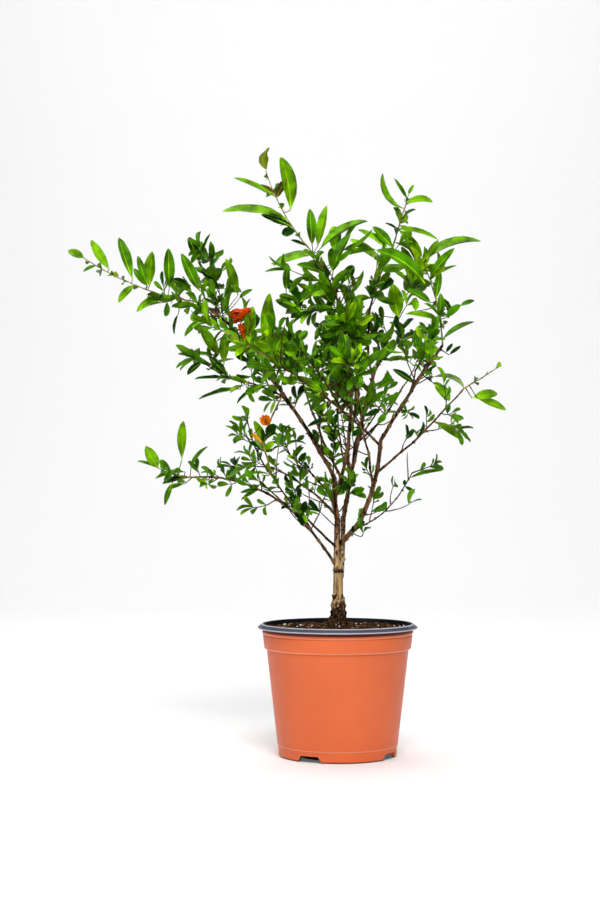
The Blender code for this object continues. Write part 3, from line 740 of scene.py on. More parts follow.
def make_materials():
    """The materials, by the name of the piece or the kind of surface that takes each."""
    made = {"leaves_" + name: leaf_material("leaf_" + name, colour) for name, colour in GREENS.items()}
    made["leaf_backs"] = leaf_material("leaf_backs", (0.085, 0.23, 0.003), 0.5)
    made["leaf_ribs"] = leaf_material("leaf_ribs", (0.30, 0.52, 0.010), 0.45)
    made["terracotta"] = terracotta_plastic()
    # The lip takes painted highlights along its edges
    made["lip"] = black_plastic("lip_plastic", (0.012, 0.014, 0.024), (0.022, 0.025, 0.040), LIP_HIGHLIGHTS)
    # A darker black for painted shade on the pot's underside and on the lip's inner faces
    made["black"] = black_plastic("black_plastic", (0.004, 0.005, 0.007), (0.009, 0.010, 0.014))
    made["soil_surface"] = soil_material("soil", (0.004, 0.002, 0.001), (0.065, 0.026, 0.009))
    made["soil_clods"] = soil_material("clods", (0.006, 0.003, 0.001), (0.12, 0.048, 0.015))
    made["soil_bark_chips"] = soil_material("bark_chips", (0.07, 0.025, 0.008), (0.56, 0.28, 0.105), 240)
    made["soil_perlite"] = soil_material("perlite", (0.62, 0.60, 0.56), (0.95, 0.94, 0.92), 500)
    made["trunk_bark"] = trunk_material()
    made["bough_bark"] = bark_material("bough_bark", (0.006, 0.003, 0.001), (0.22, 0.110, 0.045))
    made["twigs"] = bark_material("twig_bark", (0.010, 0.004, 0.002), (0.085, 0.036, 0.014))
    made["young_shoots"] = bark_material("young_shoots", (0.11, 0.075, 0.010), (0.40, 0.32, 0.055), 180)
    for name, (dark, light) in BLOSSOM_COLOURS.items():
        made[name] = blossom_material("blossom_" + name, dark, light)
    made["flower_stamens"] = leaf_material("anthers", (0.75, 0.50, 0.04), 0.6)
    made["flower_buds"] = leaf_material("buds", (0.24, 0.32, 0.010), 0.34)
    return made


# Meshes and pieces


def grid_faces(rows, columns, round_columns=False, round_rows=False):
    """Faces of a grid of points. A round grid's last column or row meets its first."""
    faces = []
    for row in range(rows if round_rows else rows - 1):
        low, high = row * columns, (row + 1) % rows * columns
        for column in range(columns if round_columns else columns - 1):
            after = (column + 1) % columns
            faces.append((low + column, low + after, high + after, high + column))
    return faces


def closed_rings(rings, foot, tip):
    """Points and faces of a body of rings that a point closes at each end."""
    count, sides = len(rings), len(rings[0])
    faces = grid_faces(count, sides, True)
    last = (count - 1) * sides
    for side in range(sides):
        after = (side + 1) % sides
        faces.append((count * sides, after, side))
        faces.append((count * sides + 1, last + side, last + after))
    return np.concatenate([*rings, [foot], [tip]]), faces


def ball(subdivisions):
    """Points and faces of a ball of radius 1."""
    mesh_data = bmesh.new()
    bmesh.ops.create_icosphere(mesh_data, subdivisions=subdivisions, radius=1.0)
    points = [vert.co.copy() for vert in mesh_data.verts]
    faces = [tuple(vert.index for vert in face.verts) for face in mesh_data.faces]
    mesh_data.free()
    return points, faces


def circle(radius, height, sides):
    angles = TAU * np.arange(sides) / sides
    return np.stack([radius * np.cos(angles), radius * np.sin(angles), np.full(sides, height)], axis=1)


def new_object(name, points, faces, material, unit_length=MM):
    mesh = bpy.data.meshes.new(name)
    mesh.from_pydata((np.asarray(points, float) * unit_length).tolist(), [], faces)
    mesh.validate()
    mesh.materials.append(material)
    thing = bpy.data.objects.new(name, mesh)
    bpy.context.scene.collection.objects.link(thing)
    return thing


def finish_piece(piece, sharp_deg):
    piece.data.shade_smooth()
    piece.data.set_sharp_from_angle(angle=math.radians(sharp_deg))
    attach(piece, BODY)
    return piece


def make_piece(name, pile, material, sharp_deg):
    piece = new_object(name, np.concatenate(pile.points), pile.faces, material)
    return finish_piece(piece, sharp_deg)


# Pot


def softened(profile, radius, steps=4):
    """A profile with its inner corners rounded."""
    points = [np.array(point, float) for point in profile]
    result = [tuple(points[0])]
    for before, corner, after in zip(points, points[1:], points[2:]):
        sides = before - corner, after - corner
        reach = min(radius, *(np.linalg.norm(side) * 0.45 for side in sides))
        first, last = (corner + unit(side) * reach for side in sides)
        for step in range(steps + 1):
            share, rest = step / steps, 1 - step / steps
            result.append(tuple(first * rest**2 + corner * 2 * share * rest + last * share**2))
    result.append(tuple(points[-1]))
    return result


def turned(name, profile, material):
    """A profile of (radius, height) turned round Z, from axis to axis or closed on itself.

    It runs outwards below and up the outer side, so that the faces look outwards.
    """
    on_axis = profile[0][0] == 0
    rings = [circle(radius, height, POT_SIDES) for radius, height in profile]
    if on_axis:
        ends = [(0, 0, profile[end][1]) for end in (0, -1)]
        return new_object(name, *closed_rings(rings[1:-1], *ends), material)
    faces = grid_faces(len(rings), POT_SIDES, True, True)
    return new_object(name, np.concatenate(rings), faces, material)


def wall_outside():
    """The pot's outer side as (radius, height), with the line round its band."""
    ledge = FOOT_RADIUS + FOOT_SPREAD
    return [
        (FOOT_RADIUS, FOOT_ROUNDING[1]),
        (ledge, FOOT_LEDGE_Z),
        (ledge + FOOT_LEDGE[0], FOOT_LEDGE_Z + FOOT_LEDGE[1]),
        (BELOW_BAND_RADIUS, BAND_BOTTOM_Z),
        (BAND_BOTTOM_RADIUS, BAND_BOTTOM_Z + BAND_STEP_HEIGHT),
        (BAND_LINE_RADIUS, BAND_LINE_Z - BAND_LINE_HALF_HEIGHT),
        (BAND_LINE_RADIUS - BAND_LINE_DEPTH, BAND_LINE_Z),
        (BAND_LINE_RADIUS + 0.15, BAND_LINE_Z + BAND_LINE_HALF_HEIGHT),
        (BAND_TOP_RADIUS, WALL_TOP_Z),
    ]


def side_radius(height):
    """The radius of the pot's outer side at a height, as if its band had no line."""
    points = [row for row in wall_outside() if row[1] != BAND_LINE_Z]
    return float(np.interp(height, [z for _, z in points], [radius for radius, _ in points]))


def inner_side(inset, low, high):
    """A side inside the outer one, as (radius, height) between two heights."""
    heights = [low, *(z for _, z in wall_outside() if low < z < high and z != BAND_LINE_Z), high]
    return [(side_radius(height) - inset, height) for height in heights]


def notch_cutter(number, material):
    slope = (NOTCH_FOOT_WIDTH - NOTCH_TOP_WIDTH) / 2 / NOTCH_HEIGHT
    foot = NOTCH_FOOT_WIDTH / 2 + NOTCH_BELOW * slope
    top = NOTCH_TOP_WIDTH / 2
    outline = ((-foot, -NOTCH_BELOW), (foot, -NOTCH_BELOW), (top, NOTCH_HEIGHT), (-top, NOTCH_HEIGHT))
    reach = (CHANNEL_OUTER_RADIUS - NOTCH_REACH, FOOT_RADIUS + NOTCH_REACH)
    points = [(across, -distance, z) for distance in reach for across, z in outline]
    faces = [*grid_faces(2, 4, True), (3, 2, 1, 0), (4, 5, 6, 7)]
    cutter = new_object(f"notch_cutter_{number}", points, faces, material)
    cutter.rotation_euler.z = math.radians(NOTCH_FIRST_DEG + number * 360 / NOTCH_COUNT)
    return cutter


def cut(thing, cutter):
    modifier = thing.modifiers.new(cutter.name, "BOOLEAN")
    modifier.solver = "EXACT"
    modifier.object = cutter
    graph = bpy.context.evaluated_depsgraph_get()
    mesh = bpy.data.meshes.new_from_object(thing.evaluated_get(graph))
    thing.modifiers.clear()
    thing.data = mesh
    bpy.data.objects.remove(cutter)


def paint_shade_black(piece, material, radius, height=math.inf):
    """Painted shade: near-black plastic on the faces nearer the axis than a radius and lower than a height.
    """
    piece.data.materials.append(material)
    for face in piece.data.polygons:
        hidden = math.hypot(*face.center.xy) < radius * MM and face.center.z < height * MM
        face.material_index = 1 if hidden else 0


def make_pot(materials):
    floor_z = CHANNEL_HEIGHT + FLOOR
    underside = [
        (0, 0),
        (DISC_RADIUS, 0),
        (DISC_RADIUS + DRAFT, CHANNEL_HEIGHT),
        (CHANNEL_OUTER_RADIUS, CHANNEL_HEIGHT),
        (CHANNEL_OUTER_RADIUS + DRAFT, 0),
        (FOOT_RADIUS - FOOT_ROUNDING[0], 0),
    ]
    neck = [
        (BAND_TOP_RADIUS - 0.1, WALL_TOP_Z - NECK_HEIGHT - 0.2),
        (BAND_TOP_RADIUS - NECK_DEPTH, WALL_TOP_Z - NECK_HEIGHT),
        (BAND_TOP_RADIUS - NECK_DEPTH, WALL_TOP_Z),
    ]
    inside = inner_side(WALL, floor_z, WALL_TOP_Z)[::-1]
    inside += [(DISC_RADIUS, floor_z), (DISC_RADIUS - DRAFT, FLOOR), (0, FLOOR)]
    profile = softened(underside + wall_outside()[:-1] + neck + inside, 0.6)
    pot = turned("pot_body", profile, materials["terracotta"])
    for number in range(NOTCH_COUNT):
        cut(pot, notch_cutter(number, materials["terracotta"]))
    # Painted shade on the underside, which shows through the notches
    paint_shade_black(pot, materials["black"], FOOT_RADIUS - 1.6, CHANNEL_HEIGHT + 0.1)
    finish_piece(pot, POT_EDGE_DEG)
    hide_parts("pot")


def make_rim(materials):
    """The rolled black lip with its skirt inside the wall, and painted shade in darker black on its inner
    faces.
    """
    lip_bottom = POT_HEIGHT - LIP_HEIGHT
    outside = inner_side(WALL + GAP, lip_bottom - SKIRT_DEPTH, lip_bottom - GAP)
    inside = [(radius - SKIRT_WALL, height) for radius, height in outside[::-1]]
    roll = [(RIM_RADIUS - inwards, POT_HEIGHT - down) for inwards, down in LIP_ROLL]
    profile = softened([*outside, (outside[-1][0], lip_bottom), *roll, *inside], 0.5, 3)
    rim = turned("pot_lip", profile, materials["lip"])
    # Painted shade on the lip's inner faces
    paint_shade_black(rim, materials["black"], RIM_RADIUS - 5.5)
    finish_piece(rim, LIP_EDGE_DEG)
    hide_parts("pot_rim")


# Soil


def soil_height(x, y):
    """The soil's uneven top, mounded towards the trunk."""
    distance = math.hypot(x, y)
    mound = (SOIL_TOP_Z - SOIL_EDGE_Z) * math.exp(-((distance / MOUND_RADIUS) ** 2))
    lumps = noise.noise(Vector((x / 9, y / 9, 3.1))) + 0.6 * noise.noise(Vector((x / 3.5, y / 3.5, 7.7)))
    fade = min(1.0, (SOIL_RADIUS - distance) / 4 + 0.35)
    return SOIL_EDGE_Z + mound + SOIL_LUMP * lumps * fade


def make_soil(materials):
    inset = WALL + GAP * 2 + SKIRT_WALL + 0.1
    rings = []
    for height in (SOIL_EDGE_Z - SOIL_DEPTH, SOIL_EDGE_Z - SOIL_SHOULDER):
        rings.append(circle(side_radius(height) - inset, height, SOIL_SIDES))
    for ring in range(SOIL_RINGS, 0, -1):
        flat = circle(SOIL_RADIUS * ring / SOIL_RINGS, 0, SOIL_SIDES)
        rings.append([(x, y, soil_height(x, y)) for x, y, _ in flat])
    pile = Pile()
    pile.add(*closed_rings(rings, (0, 0, SOIL_EDGE_Z - SOIL_DEPTH), (0, 0, soil_height(0, 0))))
    soil = make_piece("soil_surface", pile, materials["soil_surface"], ALL_SMOOTH_DEG)
    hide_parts("soil")


def spun(points, angle):
    """Points turned round Z."""
    cosine, sine = math.cos(angle), math.sin(angle)
    return points @ np.array(((cosine, sine, 0), (-sine, cosine, 0), (0, 0, 1)))


def lump(dice, flatness, length):
    """Points and faces of a small irregular stone-like body about the origin."""
    places, faces = ball(2)
    shift = Vector((dice.uniform(0, 50), dice.uniform(0, 50), dice.uniform(0, 50)))
    turn = dice.uniform(0, TAU)
    tilt = dice.uniform(-0.5, 0.5)
    points = []
    for place in places:
        x, y, z = place * (1 + 0.42 * noise.noise(place * 1.3 + shift))
        x *= length
        points.append((x, y, z * flatness + x * tilt))
    return spun(np.array(points), turn), faces


def strew(name, material):
    """Small bodies strewn over the soil, each sunk a little into it."""
    count, sizes, flatness, length, lift, seed = SOIL_BITS[name]
    dice = random.Random(seed)
    shapes = [lump(dice, flatness, length) for _ in range(BIT_SHAPES)]
    pile = Pile()
    for _ in range(count):
        distance = (SOIL_RADIUS - 2.5) * math.sqrt(dice.random())
        angle = dice.uniform(0, TAU)
        x, y = distance * math.cos(angle), distance * math.sin(angle)
        size = dice.uniform(*sizes)
        points, faces = dice.choice(shapes)
        spin = dice.uniform(0, TAU)
        if math.hypot(x - TRUNK_FOOT[0], y) < CLEAR_OF_TRUNK:
            continue
        place = (x, y, soil_height(x, y) + size * flatness * lift)
        pile.add(spun(points, spin) * size + np.array(place), faces)
    make_piece(name, pile, material, CLOD_EDGE_DEG)


# Lines that limbs and stems follow


def unit(vector):
    return vector / np.linalg.norm(vector)


def square_to(vector, along):
    """The part of a vector that is square to a direction, at length one."""
    return unit(vector - along * np.dot(vector, along))


def make_path(start, tip, bow):
    return np.array(start, float), np.array(tip, float), np.array(bow, float)


def point_on(path, share):
    start, tip, bow = path
    return start + (tip - start) * share + bow * (4 * share * (1 - share))


def direction_on(path, share):
    start, tip, bow = path
    return unit(tip - start + bow * (4 - 8 * share))


def path_length(path):
    return float(np.linalg.norm(path[1] - path[0]))


def shortened(path, less):
    """The same path, ending a length sooner."""
    share = max(0.35, 1 - less / path_length(path))
    return path[0], point_on(path, share), path[2] * share**2


def lay_out_paths():
    """The paths of the trunk, the boughs and the masses' stems, by name."""
    paths = {"trunk": make_path(TRUNK_FOOT, TRUNK_TOP, (0, 0, 0))}
    for name, (parent, along, tip, bow, *_) in {**BOUGHS, **LEAF_MASSES}.items():
        start = point_on(paths[parent], along) + np.array(FORK.get(name, (0, 0, 0)))
        paths[name] = make_path(start, tip, bow)
    return paths


def wandering(path, shares, wave, seed, spacing, sway, fade):
    """Points along a path that wander off it between its ends."""
    length = path_length(path)
    points = []
    for share in shares:
        places = [(share * length / wave, seed, axis * spacing) for axis in range(3)]
        offset = np.array([noise.noise(Vector(place)) for place in places])
        points.append(point_on(path, share) + offset * sway * math.sin(math.pi * share) ** fade)
    return points


def spread(path, share, around, opening):
    """A direction that leaves a path at an opening angle, turned around it."""
    ahead = direction_on(path, share)
    across = square_to(RING_START, ahead)
    beside = np.cross(ahead, across)
    out = across * math.cos(around) + beside * math.sin(around)
    return unit(ahead * math.cos(opening) + out * math.sin(opening))


def shoots_up(path, dice, kind, count, first, last, depth=1.0, margin=0.1):
    """Yields the share, start and direction of each side shoot, in a spiral up a path.

    first and last bound the stretch that they share out.
    """
    jitter, opening, rise = SHOOTS[kind]
    around = dice.uniform(0, TAU)
    for number in range(count):
        share = first + (last - first) * (number + dice.uniform(margin, 1 - margin)) / count
        around += GOLDEN_TURN + dice.uniform(-jitter, jitter)
        way = spread(path, share, around, math.radians(dice.uniform(*opening)))
        way = unit(way * np.array((1.0, depth, 1.0)) + np.array((0, 0, rise)))
        yield share, point_on(path, share), way


def add_tube(pile, points, radii, sides):
    """A closed tube; radii holds one radius for each point, or one for each point and side."""
    points = np.asarray(points, float)
    radii = np.asarray(radii, float)
    if radii.ndim == 1:
        radii = radii[:, None]
    angles = TAU * np.arange(sides) / sides
    across = RING_START
    rings = []
    for place, step, ring in zip(points, np.gradient(points, axis=0), radii):
        along = unit(step)
        across = square_to(across, along)
        beside = np.cross(along, across)
        offset = np.outer(np.cos(angles) * ring, across) + np.outer(np.sin(angles) * ring, beside)
        rings.append(place + offset)
    pile.add(*closed_rings(rings, points[0], points[-1]))


def add_rough_tube(pile, path, shares, sides, radius_at, *sizes):
    """A tube along a path, whose radius a function works out from share, angle and sizes."""
    angles = [TAU * side / sides for side in range(sides)]
    radii = [[radius_at(share, angle, *sizes) for angle in angles] for share in shares]
    add_tube(pile, [point_on(path, share) for share in shares], radii, sides)


def add_stem(pile, path, foot, end, seed, sides=6):
    """A thin stem that wanders a little and has low knots."""
    count = max(4, int(path_length(path) / 3.2))
    shares = np.linspace(0, 1, count)
    knots = 1 + 0.16 * (np.arange(count) % 3 == 0)
    points = wandering(path, shares, 11, seed, 5.0, 0.9, 1.0)
    add_tube(pile, points, (foot + (end - foot) * shares) * knots, sides)


# Bark


def relief(angle, scale, shift):
    """Smooth noise at an angle round a limb, shifted along it."""
    return noise.noise(Vector((math.cos(angle), math.sin(angle), 0)) * scale + Vector(shift))


def bell(distance, width):
    return math.exp(-((distance / width) ** 2))


def bough_radius(radius, distance, angle, seed, nodes):
    """A bough's radius at a place, with ridges, pits and the swellings of its nodes."""
    ridges = relief(angle, 1.7, (0, seed, distance / 9))
    pits = relief(angle, 3.4, (seed, 0, distance / 1.8))
    swelling = sum(bell(distance - node, 1.3) for node in nodes if abs(node - distance) < 4)
    return radius * (1 + 0.12 * ridges + 0.07 * pits) + 0.42 * swelling * radius**0.5


def limb_nodes(length, dice):
    """Where a limb has its nodes, as distances from its foot."""
    nodes = []
    place = dice.uniform(5, 12)
    while place < length - 3:
        nodes.append(place)
        place += dice.uniform(9, 19)
    return nodes


def make_boughs(paths, materials):
    """The boughs, each with a collar at its foot and a short spur at each node."""
    pile = Pile()
    dice = random.Random(21)
    for number, (name, (_, along, _, _, foot, end, _)) in enumerate(BOUGHS.items()):
        path = paths[name]
        length = path_length(path)
        shares = np.linspace(0, 1, max(6, int(length / BARK_STEP)))
        points = wandering(path, shares, 22, number * 3.7, 9.0, 1.5, 0.5)
        nodes = limb_nodes(length, dice)
        sides = 14 if foot > 1.5 else 10
        angles = [TAU * side / sides for side in range(sides)]
        radii = []
        for share in shares:
            collar = 0 if along == 1 else 0.45 * math.exp(-share * length / 2.6)
            radius = (foot + share * (end - foot)) * (1 + collar)
            radii.append([bough_radius(radius, share * length, angle, number, nodes) for angle in angles])
        add_tube(pile, points, radii, sides)
        for node in nodes:
            share = node / length
            base = points[int(share * (len(points) - 1))]
            way = spread(path, share, dice.uniform(0, TAU), math.radians(dice.uniform(35, 75)))
            reach = foot + share * (end - foot) + dice.uniform(0.8, 2.6)
            add_tube(pile, [base, base + way * reach * 0.75, base + way * reach], SPUR_RADII, 6)
    piece = make_piece("bough_bark", pile, materials["bough_bark"], BARK_EDGE_DEG)
    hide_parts(*BOUGHS)


def smooth_step(value, low, high):
    share = min(1.0, max(0.0, (value - low) / (high - low)))
    return share * share * (3 - 2 * share)


def trunk_radius(share, angle, length):
    """The trunk's radius: rough flare, swollen foot and a ring."""
    distance = share * length
    swollen = FOOT_SWELLING * (1 - smooth_step(distance, 20, 34))
    flare = FLARE_WIDTH * math.exp(-distance / FLARE_HEIGHT) * (1 + 0.20 * math.sin(3 * angle))
    crust = 1 - smooth_step(distance, 18, 36)
    rough = 1 + 0.09 * relief(angle, 2.2, (0, 0, distance / 14))
    rough += 0.06 * relief(angle, 6, (4, 0, distance / 4))
    rough += crust * 0.24 * relief(angle, 2.6, (9, 0, distance / 3.2))
    ring = 0.9 * bell(distance - TRUNK_RING, 1.5) * (1 + 0.5 * math.sin(2 * angle + 1))
    parted = 1 - 0.6 * smooth_step(distance, TRUNK_RING, 80)
    return (TRUNK_RADIUS * parted + swollen + flare) * rough + ring


def stem_radius(share, angle, foot, end, seed):
    rough = 0.10 * relief(angle, 1.8, (seed, 0, share * 7))
    rough += 0.08 * relief(angle, 5, (seed, 3, share * 18))
    return (foot + (end - foot) * share) * (1 + rough)


def stub_radius(share, angle, foot, end, seed):
    """The radius of a pruned stub, which is blunt at its end."""
    rough = relief(angle, 2, (0, 0, share * 3 + seed))
    return (foot + (end - foot) * share) * (1 + 0.22 * rough) * (1 - 0.35 * share**6)


def make_trunk(materials):
    """The trunk, the two stems that rise fused from its ring, and its pruned stubs."""
    pile = Pile()
    path = make_path(TRUNK_FOOT, TRUNK_PARTS_AT, TRUNK_BOW)
    length = path_length(path)
    shares = np.arange(0, length + 0.1, TRUNK_STEP) / length
    add_rough_tube(pile, path, shares, TRUNK_SIDES, trunk_radius, length)
    for seed, (start, tip, bow, foot, end) in enumerate(FUSED_STEMS):
        path = make_path(start, tip, bow)
        shares = np.linspace(0, 1, int(path_length(path) / TRUNK_STEP))
        add_rough_tube(pile, path, shares, STEM_SIDES, stem_radius, foot, end, seed)
    for start, tip, foot, end in TRUNK_STUBS:
        path = make_path(start, tip, (0, 0, 0.6))
        shares = np.linspace(0, 1, STUB_STEPS)
        add_rough_tube(pile, path, shares, STUB_SIDES, stub_radius, foot, end, tip[2])
    piece = make_piece("trunk_bark", pile, materials["trunk_bark"], BARK_EDGE_DEG)
    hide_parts("trunk")


# Leaves


class Foliage:
    """The piles that leaves and twigs go into."""

    def __init__(self):
        self.greens = {name: Pile() for name in GREENS}
        self.backs = Pile()
        self.ribs = Pile()
        self.twigs = Pile()
        self.shoots = Pile()


LEAF_FACES = grid_faces(len(LEAF_SHARES), len(LEAF_COLUMNS))
BACK_FACES = [face[::-1] for face in LEAF_FACES]
RIB_FACES = grid_faces(len(LEAF_SHARES), 3)


def leaf_line(foot, along, bend_way, length, turn, roll):
    """A leaf's midline, and at each of its points the direction of its side and of its face."""
    bend = math.radians(turn)
    angles = bend * (LEAF_SHARES - 0.5)
    tangents = np.outer(np.cos(angles), along) + np.outer(np.sin(angles), bend_way)
    inwards = np.outer(-np.sin(angles), along) + np.outer(np.cos(angles), bend_way)
    face_turn = math.radians(roll)
    normals = np.cross(along, bend_way) * math.cos(face_turn) + inwards * math.sin(face_turn)
    shorter = math.sin(bend / 2) / (bend / 2) if abs(bend) > 0.01 else 1.0
    steps = np.diff(LEAF_SHARES)[:, None] * (tangents[1:] + tangents[:-1]) / 2 * length / shorter
    centre = foot + np.concatenate([np.zeros((1, 3)), np.cumsum(steps, axis=0)])
    return centre, np.cross(tangents, normals), normals


def add_leaf(foliage, foot, along, bend_way, length, width, green, dice, turn, roll, outline=LONG_OUTLINE):
    """A folded, arching leaf from its foot. It bends in the plane of its two directions.

    turn is how far it turns from foot to tip, towards bend_way where positive. roll is how far
    its face is turned from the side of that plane towards bend_way.
    """
    fold = dice.uniform(0.35, 0.80)
    wave = dice.uniform(0.0, 0.14)
    phase = dice.uniform(0, TAU)
    lean = dice.uniform(0.86, 1.16)
    centre, sides, normals = leaf_line(foot, along, bend_way, length, turn, roll)
    half = np.interp(LEAF_SHARES**lean, LEAF_SHARES, outline)[:, None] * width / 2
    edge = np.abs(LEAF_COLUMNS)
    ripple = np.sin(LEAF_SHARES * 15 + phase)[:, None] * edge**2 * wave
    lift = half * (edge * fold + ripple)
    top = centre[:, None] + sides[:, None] * (LEAF_COLUMNS * half)[:, :, None]
    top = top + normals[:, None] * lift[:, :, None]
    bottom = top - normals[:, None] * ((1 - edge) * LEAF_THICKNESS)[:, None]
    foliage.greens[green].add(top, LEAF_FACES)
    foliage.backs.add(bottom, BACK_FACES)
    if length >= RIB_FROM_LENGTH:
        rib_half = np.interp(LEAF_SHARES, (0, 1), RIB_HALF_SHARES)[:, None] * width
        foot_of_rib = centre + normals * (rib_half * fold)
        crest = centre + normals * (rib_half * 0.5 + RIB_HEIGHT)
        rib = [foot_of_rib - sides * rib_half, crest, foot_of_rib + sides * rib_half]
        foliage.ribs.add(np.stack(rib, axis=1), RIB_FACES)


def skyward(dice, place, along):
    """Which way a leaf's upper face looks: up, away from the trunk, and a little by chance."""
    outward = np.array((place[0] - TRUNK_TOP[0], place[1], 0.0))
    outward = outward / (np.linalg.norm(outward) + 20)
    chance = np.array([dice.uniform(-1, 1) for _ in range(3)])
    return square_to(np.array((0, 0, 0.45)) + outward * 0.55 + chance * 0.95, along)


def covers_flower(foot, along, length):
    """Whether a leaf would hang across the front of a flower."""
    for low, high, *_ in FLOWERS:
        middle = (np.array(low) + np.array(high)) / 2
        for share in (0.2, 0.6, 1.0):
            apart = foot + along * length * share - middle
            if math.hypot(apart[0], apart[2]) < FLOWER_CLEARANCE and apart[1] < 4:
                return True
    return False


def add_rule_leaf(foliage, foot, along, length, green, dice):
    if covers_flower(foot, along, length):
        return
    width = length * dice.uniform(0.30, 0.42) * min(1.0, (20 / length) ** 0.35)
    face = skyward(dice, foot, along)
    turn = -dice.uniform(5, 60)
    outline = BLUNT_OUTLINE if length < 24 else LONG_OUTLINE
    add_leaf(foliage, foot, along, face, length, width, green, dice, turn, 90.0, outline)


def add_tuft(foliage, path, leaf, green, dice, count):
    """Leaves round the tip of a shoot."""
    around = dice.uniform(0, TAU)
    for number in range(count):
        opening = math.radians(8 if number == 0 else dice.uniform(28, 62))
        way = spread(path, 1.0, around, opening)
        around += GOLDEN_TURN + dice.uniform(-0.3, 0.3)
        length = leaf * dice.uniform(0.7, 1.1)
        add_rule_leaf(foliage, point_on(path, 1.0), way, length, green, dice)


def add_pairs(foliage, path, leaf, green, dice, first, every, side_ways=None):
    """Opposite pairs of leaves up a shoot, each turned a quarter from the pair below."""
    around = dice.uniform(0, TAU)
    count = max(1, int(path_length(path) * (1 - first) / every))
    for number in range(count):
        share = first + (1 - first) * (number + 0.5) / count
        around += TAU / 4 + dice.uniform(-0.35, 0.35)
        size = leaf * (0.62 + 0.45 * math.sin(math.pi * (0.15 + 0.7 * share)))
        for half_turn in (0, math.pi):
            opening = math.radians(dice.uniform(34, 72))
            way = spread(path, share, around + half_turn, opening)
            if side_ways is not None:
                push = np.array((0, side_ways * np.sign(way[1]), 0))
                way = unit(way * np.array((0.45, 1.0, 0.45)) + push)
            stays = dice.random() > MISSING_LEAVES
            grown = size * dice.uniform(0.72, 1.12)
            if stays:
                add_rule_leaf(foliage, point_on(path, share), way, grown, green, dice)


def add_spray(foliage, path, leaf, tones, dice, first, tip_leaf, tip_leaves):
    """A side shoot with pairs of leaves from a share of its length on, and more round its tip."""
    green = dice.choice(tones)
    add_stem(foliage.twigs, path, *SPRAY_RADII, dice.uniform(0, 90), 5)
    add_pairs(foliage, path, leaf * 0.85, green, dice, first, leaf * 0.5)
    add_tuft(foliage, path, tip_leaf, green, dice, tip_leaves)


def mass_reach(widest, share):
    """How far a mass reaches out from its stem, as its solid in the part does."""
    return widest * math.sin(math.pi * min(share, TIP_SHARE) ** SWELL_LEAN) ** SWELL_BLUNTNESS


def grow_mass(foliage, name, paths):
    """Replaces a mass by its stem, side shoots and leaves."""
    _, along, _, _, widest, depth, leaf, side_shoots, kind, *rest = LEAF_MASSES[name]
    bare = rest[0] if rest else BARE_SHARE
    tones = SPRAY_TONES[kind]
    dice = random.Random(name)
    listed = name in LEADING_LEAVES
    path = paths[name] if listed else shortened(paths[name], leaf * 0.7)
    stems = foliage.shoots if kind == "lit" else foliage.twigs
    add_stem(stems, path, 0.85 if along == 1 else 0.6, 0.45, dice.uniform(0, 90))
    every = leaf * (0.62 if listed or side_shoots == 0 else 0.45)
    if listed:
        add_pairs(foliage, path, leaf * 0.8, dice.choice(tones), dice, bare, every, 0.75)
    else:
        add_pairs(foliage, path, leaf, dice.choice(tones), dice, bare, every)
        add_tuft(foliage, path, leaf, dice.choice(tones), dice, 4)
    shoots = shoots_up(path, dice, "mass", side_shoots, bare, LAST_SHOOT_SHARE, depth, 0.2)
    for share, start, way in shoots:
        length = max(4.0, mass_reach(widest, share) - leaf * 0.42) * dice.uniform(0.75, 1.1)
        spray = make_path(start, start + way * length, (0, 0, -length * 0.05))
        add_spray(foliage, spray, leaf, tones, dice, 0.2, leaf * 0.95, 3)


def grow_leading_leaves(foliage, paths):
    """The leaves that stand against the sky, at their own places and angles."""
    for name, rows in LEADING_LEAVES.items():
        dice = random.Random(name + " leading")
        for share, angle, length, width, turn, green, *offset in rows:
            foot = point_on(paths[name], share)
            if offset:
                start = foot
                foot = start + np.array((offset[0][0], dice.uniform(-3, 3), offset[0][1]))
                twig = make_path(start, foot, (0, 0, -0.6))
                add_stem(foliage.twigs, twig, *LEAF_TWIG_RADII, dice.uniform(0, 90), 6)
            lean = math.radians(dice.uniform(-22, 22))
            plane = np.array((math.cos(math.radians(angle)), 0, math.sin(math.radians(angle))))
            along = unit(plane * math.cos(lean) + np.array((0, math.sin(lean), 0)))
            bend_way = square_to(np.cross(plane, np.array((0, 1.0, 0))), along)
            full = max(width / math.cos(math.radians(14)), WIDTH_SHARE * length * 0.95)
            full = min(WIDEST_LEAF, full)
            roll = math.copysign(math.degrees(math.acos(min(1.0, width / full))), bend_way[2])
            true_length = length / math.cos(lean)
            add_leaf(foliage, foot, along, bend_way, true_length, full, green, dice, turn, roll)


def grow_twigs(foliage, paths):
    """Thin side twigs up the limbs, some bare and some with a few small leaves."""
    for name, (*_, count) in BOUGHS.items():
        dice = random.Random(name + " twigs")
        for _, start, way in shoots_up(paths[name], dice, "twig", count, 0.14, LAST_SHOOT_SHARE):
            length = dice.uniform(*TWIG_LENGTHS)
            bow = (dice.uniform(-2, 2), dice.uniform(-2, 2), -1.5)
            twig = make_path(start, start + way * length, bow)
            add_stem(foliage.twigs, twig, *TWIG_RADII, dice.uniform(0, 90), 5)
            leafy = dice.random()
            if leafy > BARE_TWIGS:
                add_tuft(foliage, twig, dice.uniform(12, 19), dice.choice(SPRAY_TONES["mix"]), dice, 3)
            if leafy > PAIRLESS_TWIGS:
                add_pairs(foliage, twig, dice.uniform(11, 16), "mid", dice, 0.35, 9)


def grow_sprays(foliage, paths):
    """Leafy side shoots on the stretches of the limbs that the masses leave open."""
    for name, (first, last, count, leaf, reach, kind) in LIMB_SPRAYS.items():
        dice = random.Random(name + " sprays")
        for _, start, way in shoots_up(paths[name], dice, "spray", count, first, last):
            spray = make_path(start, start + way * reach * dice.uniform(0.6, 1.2), (0, 0, -1))
            add_spray(foliage, spray, leaf, SPRAY_TONES[kind], dice, 0.25, leaf, 2)


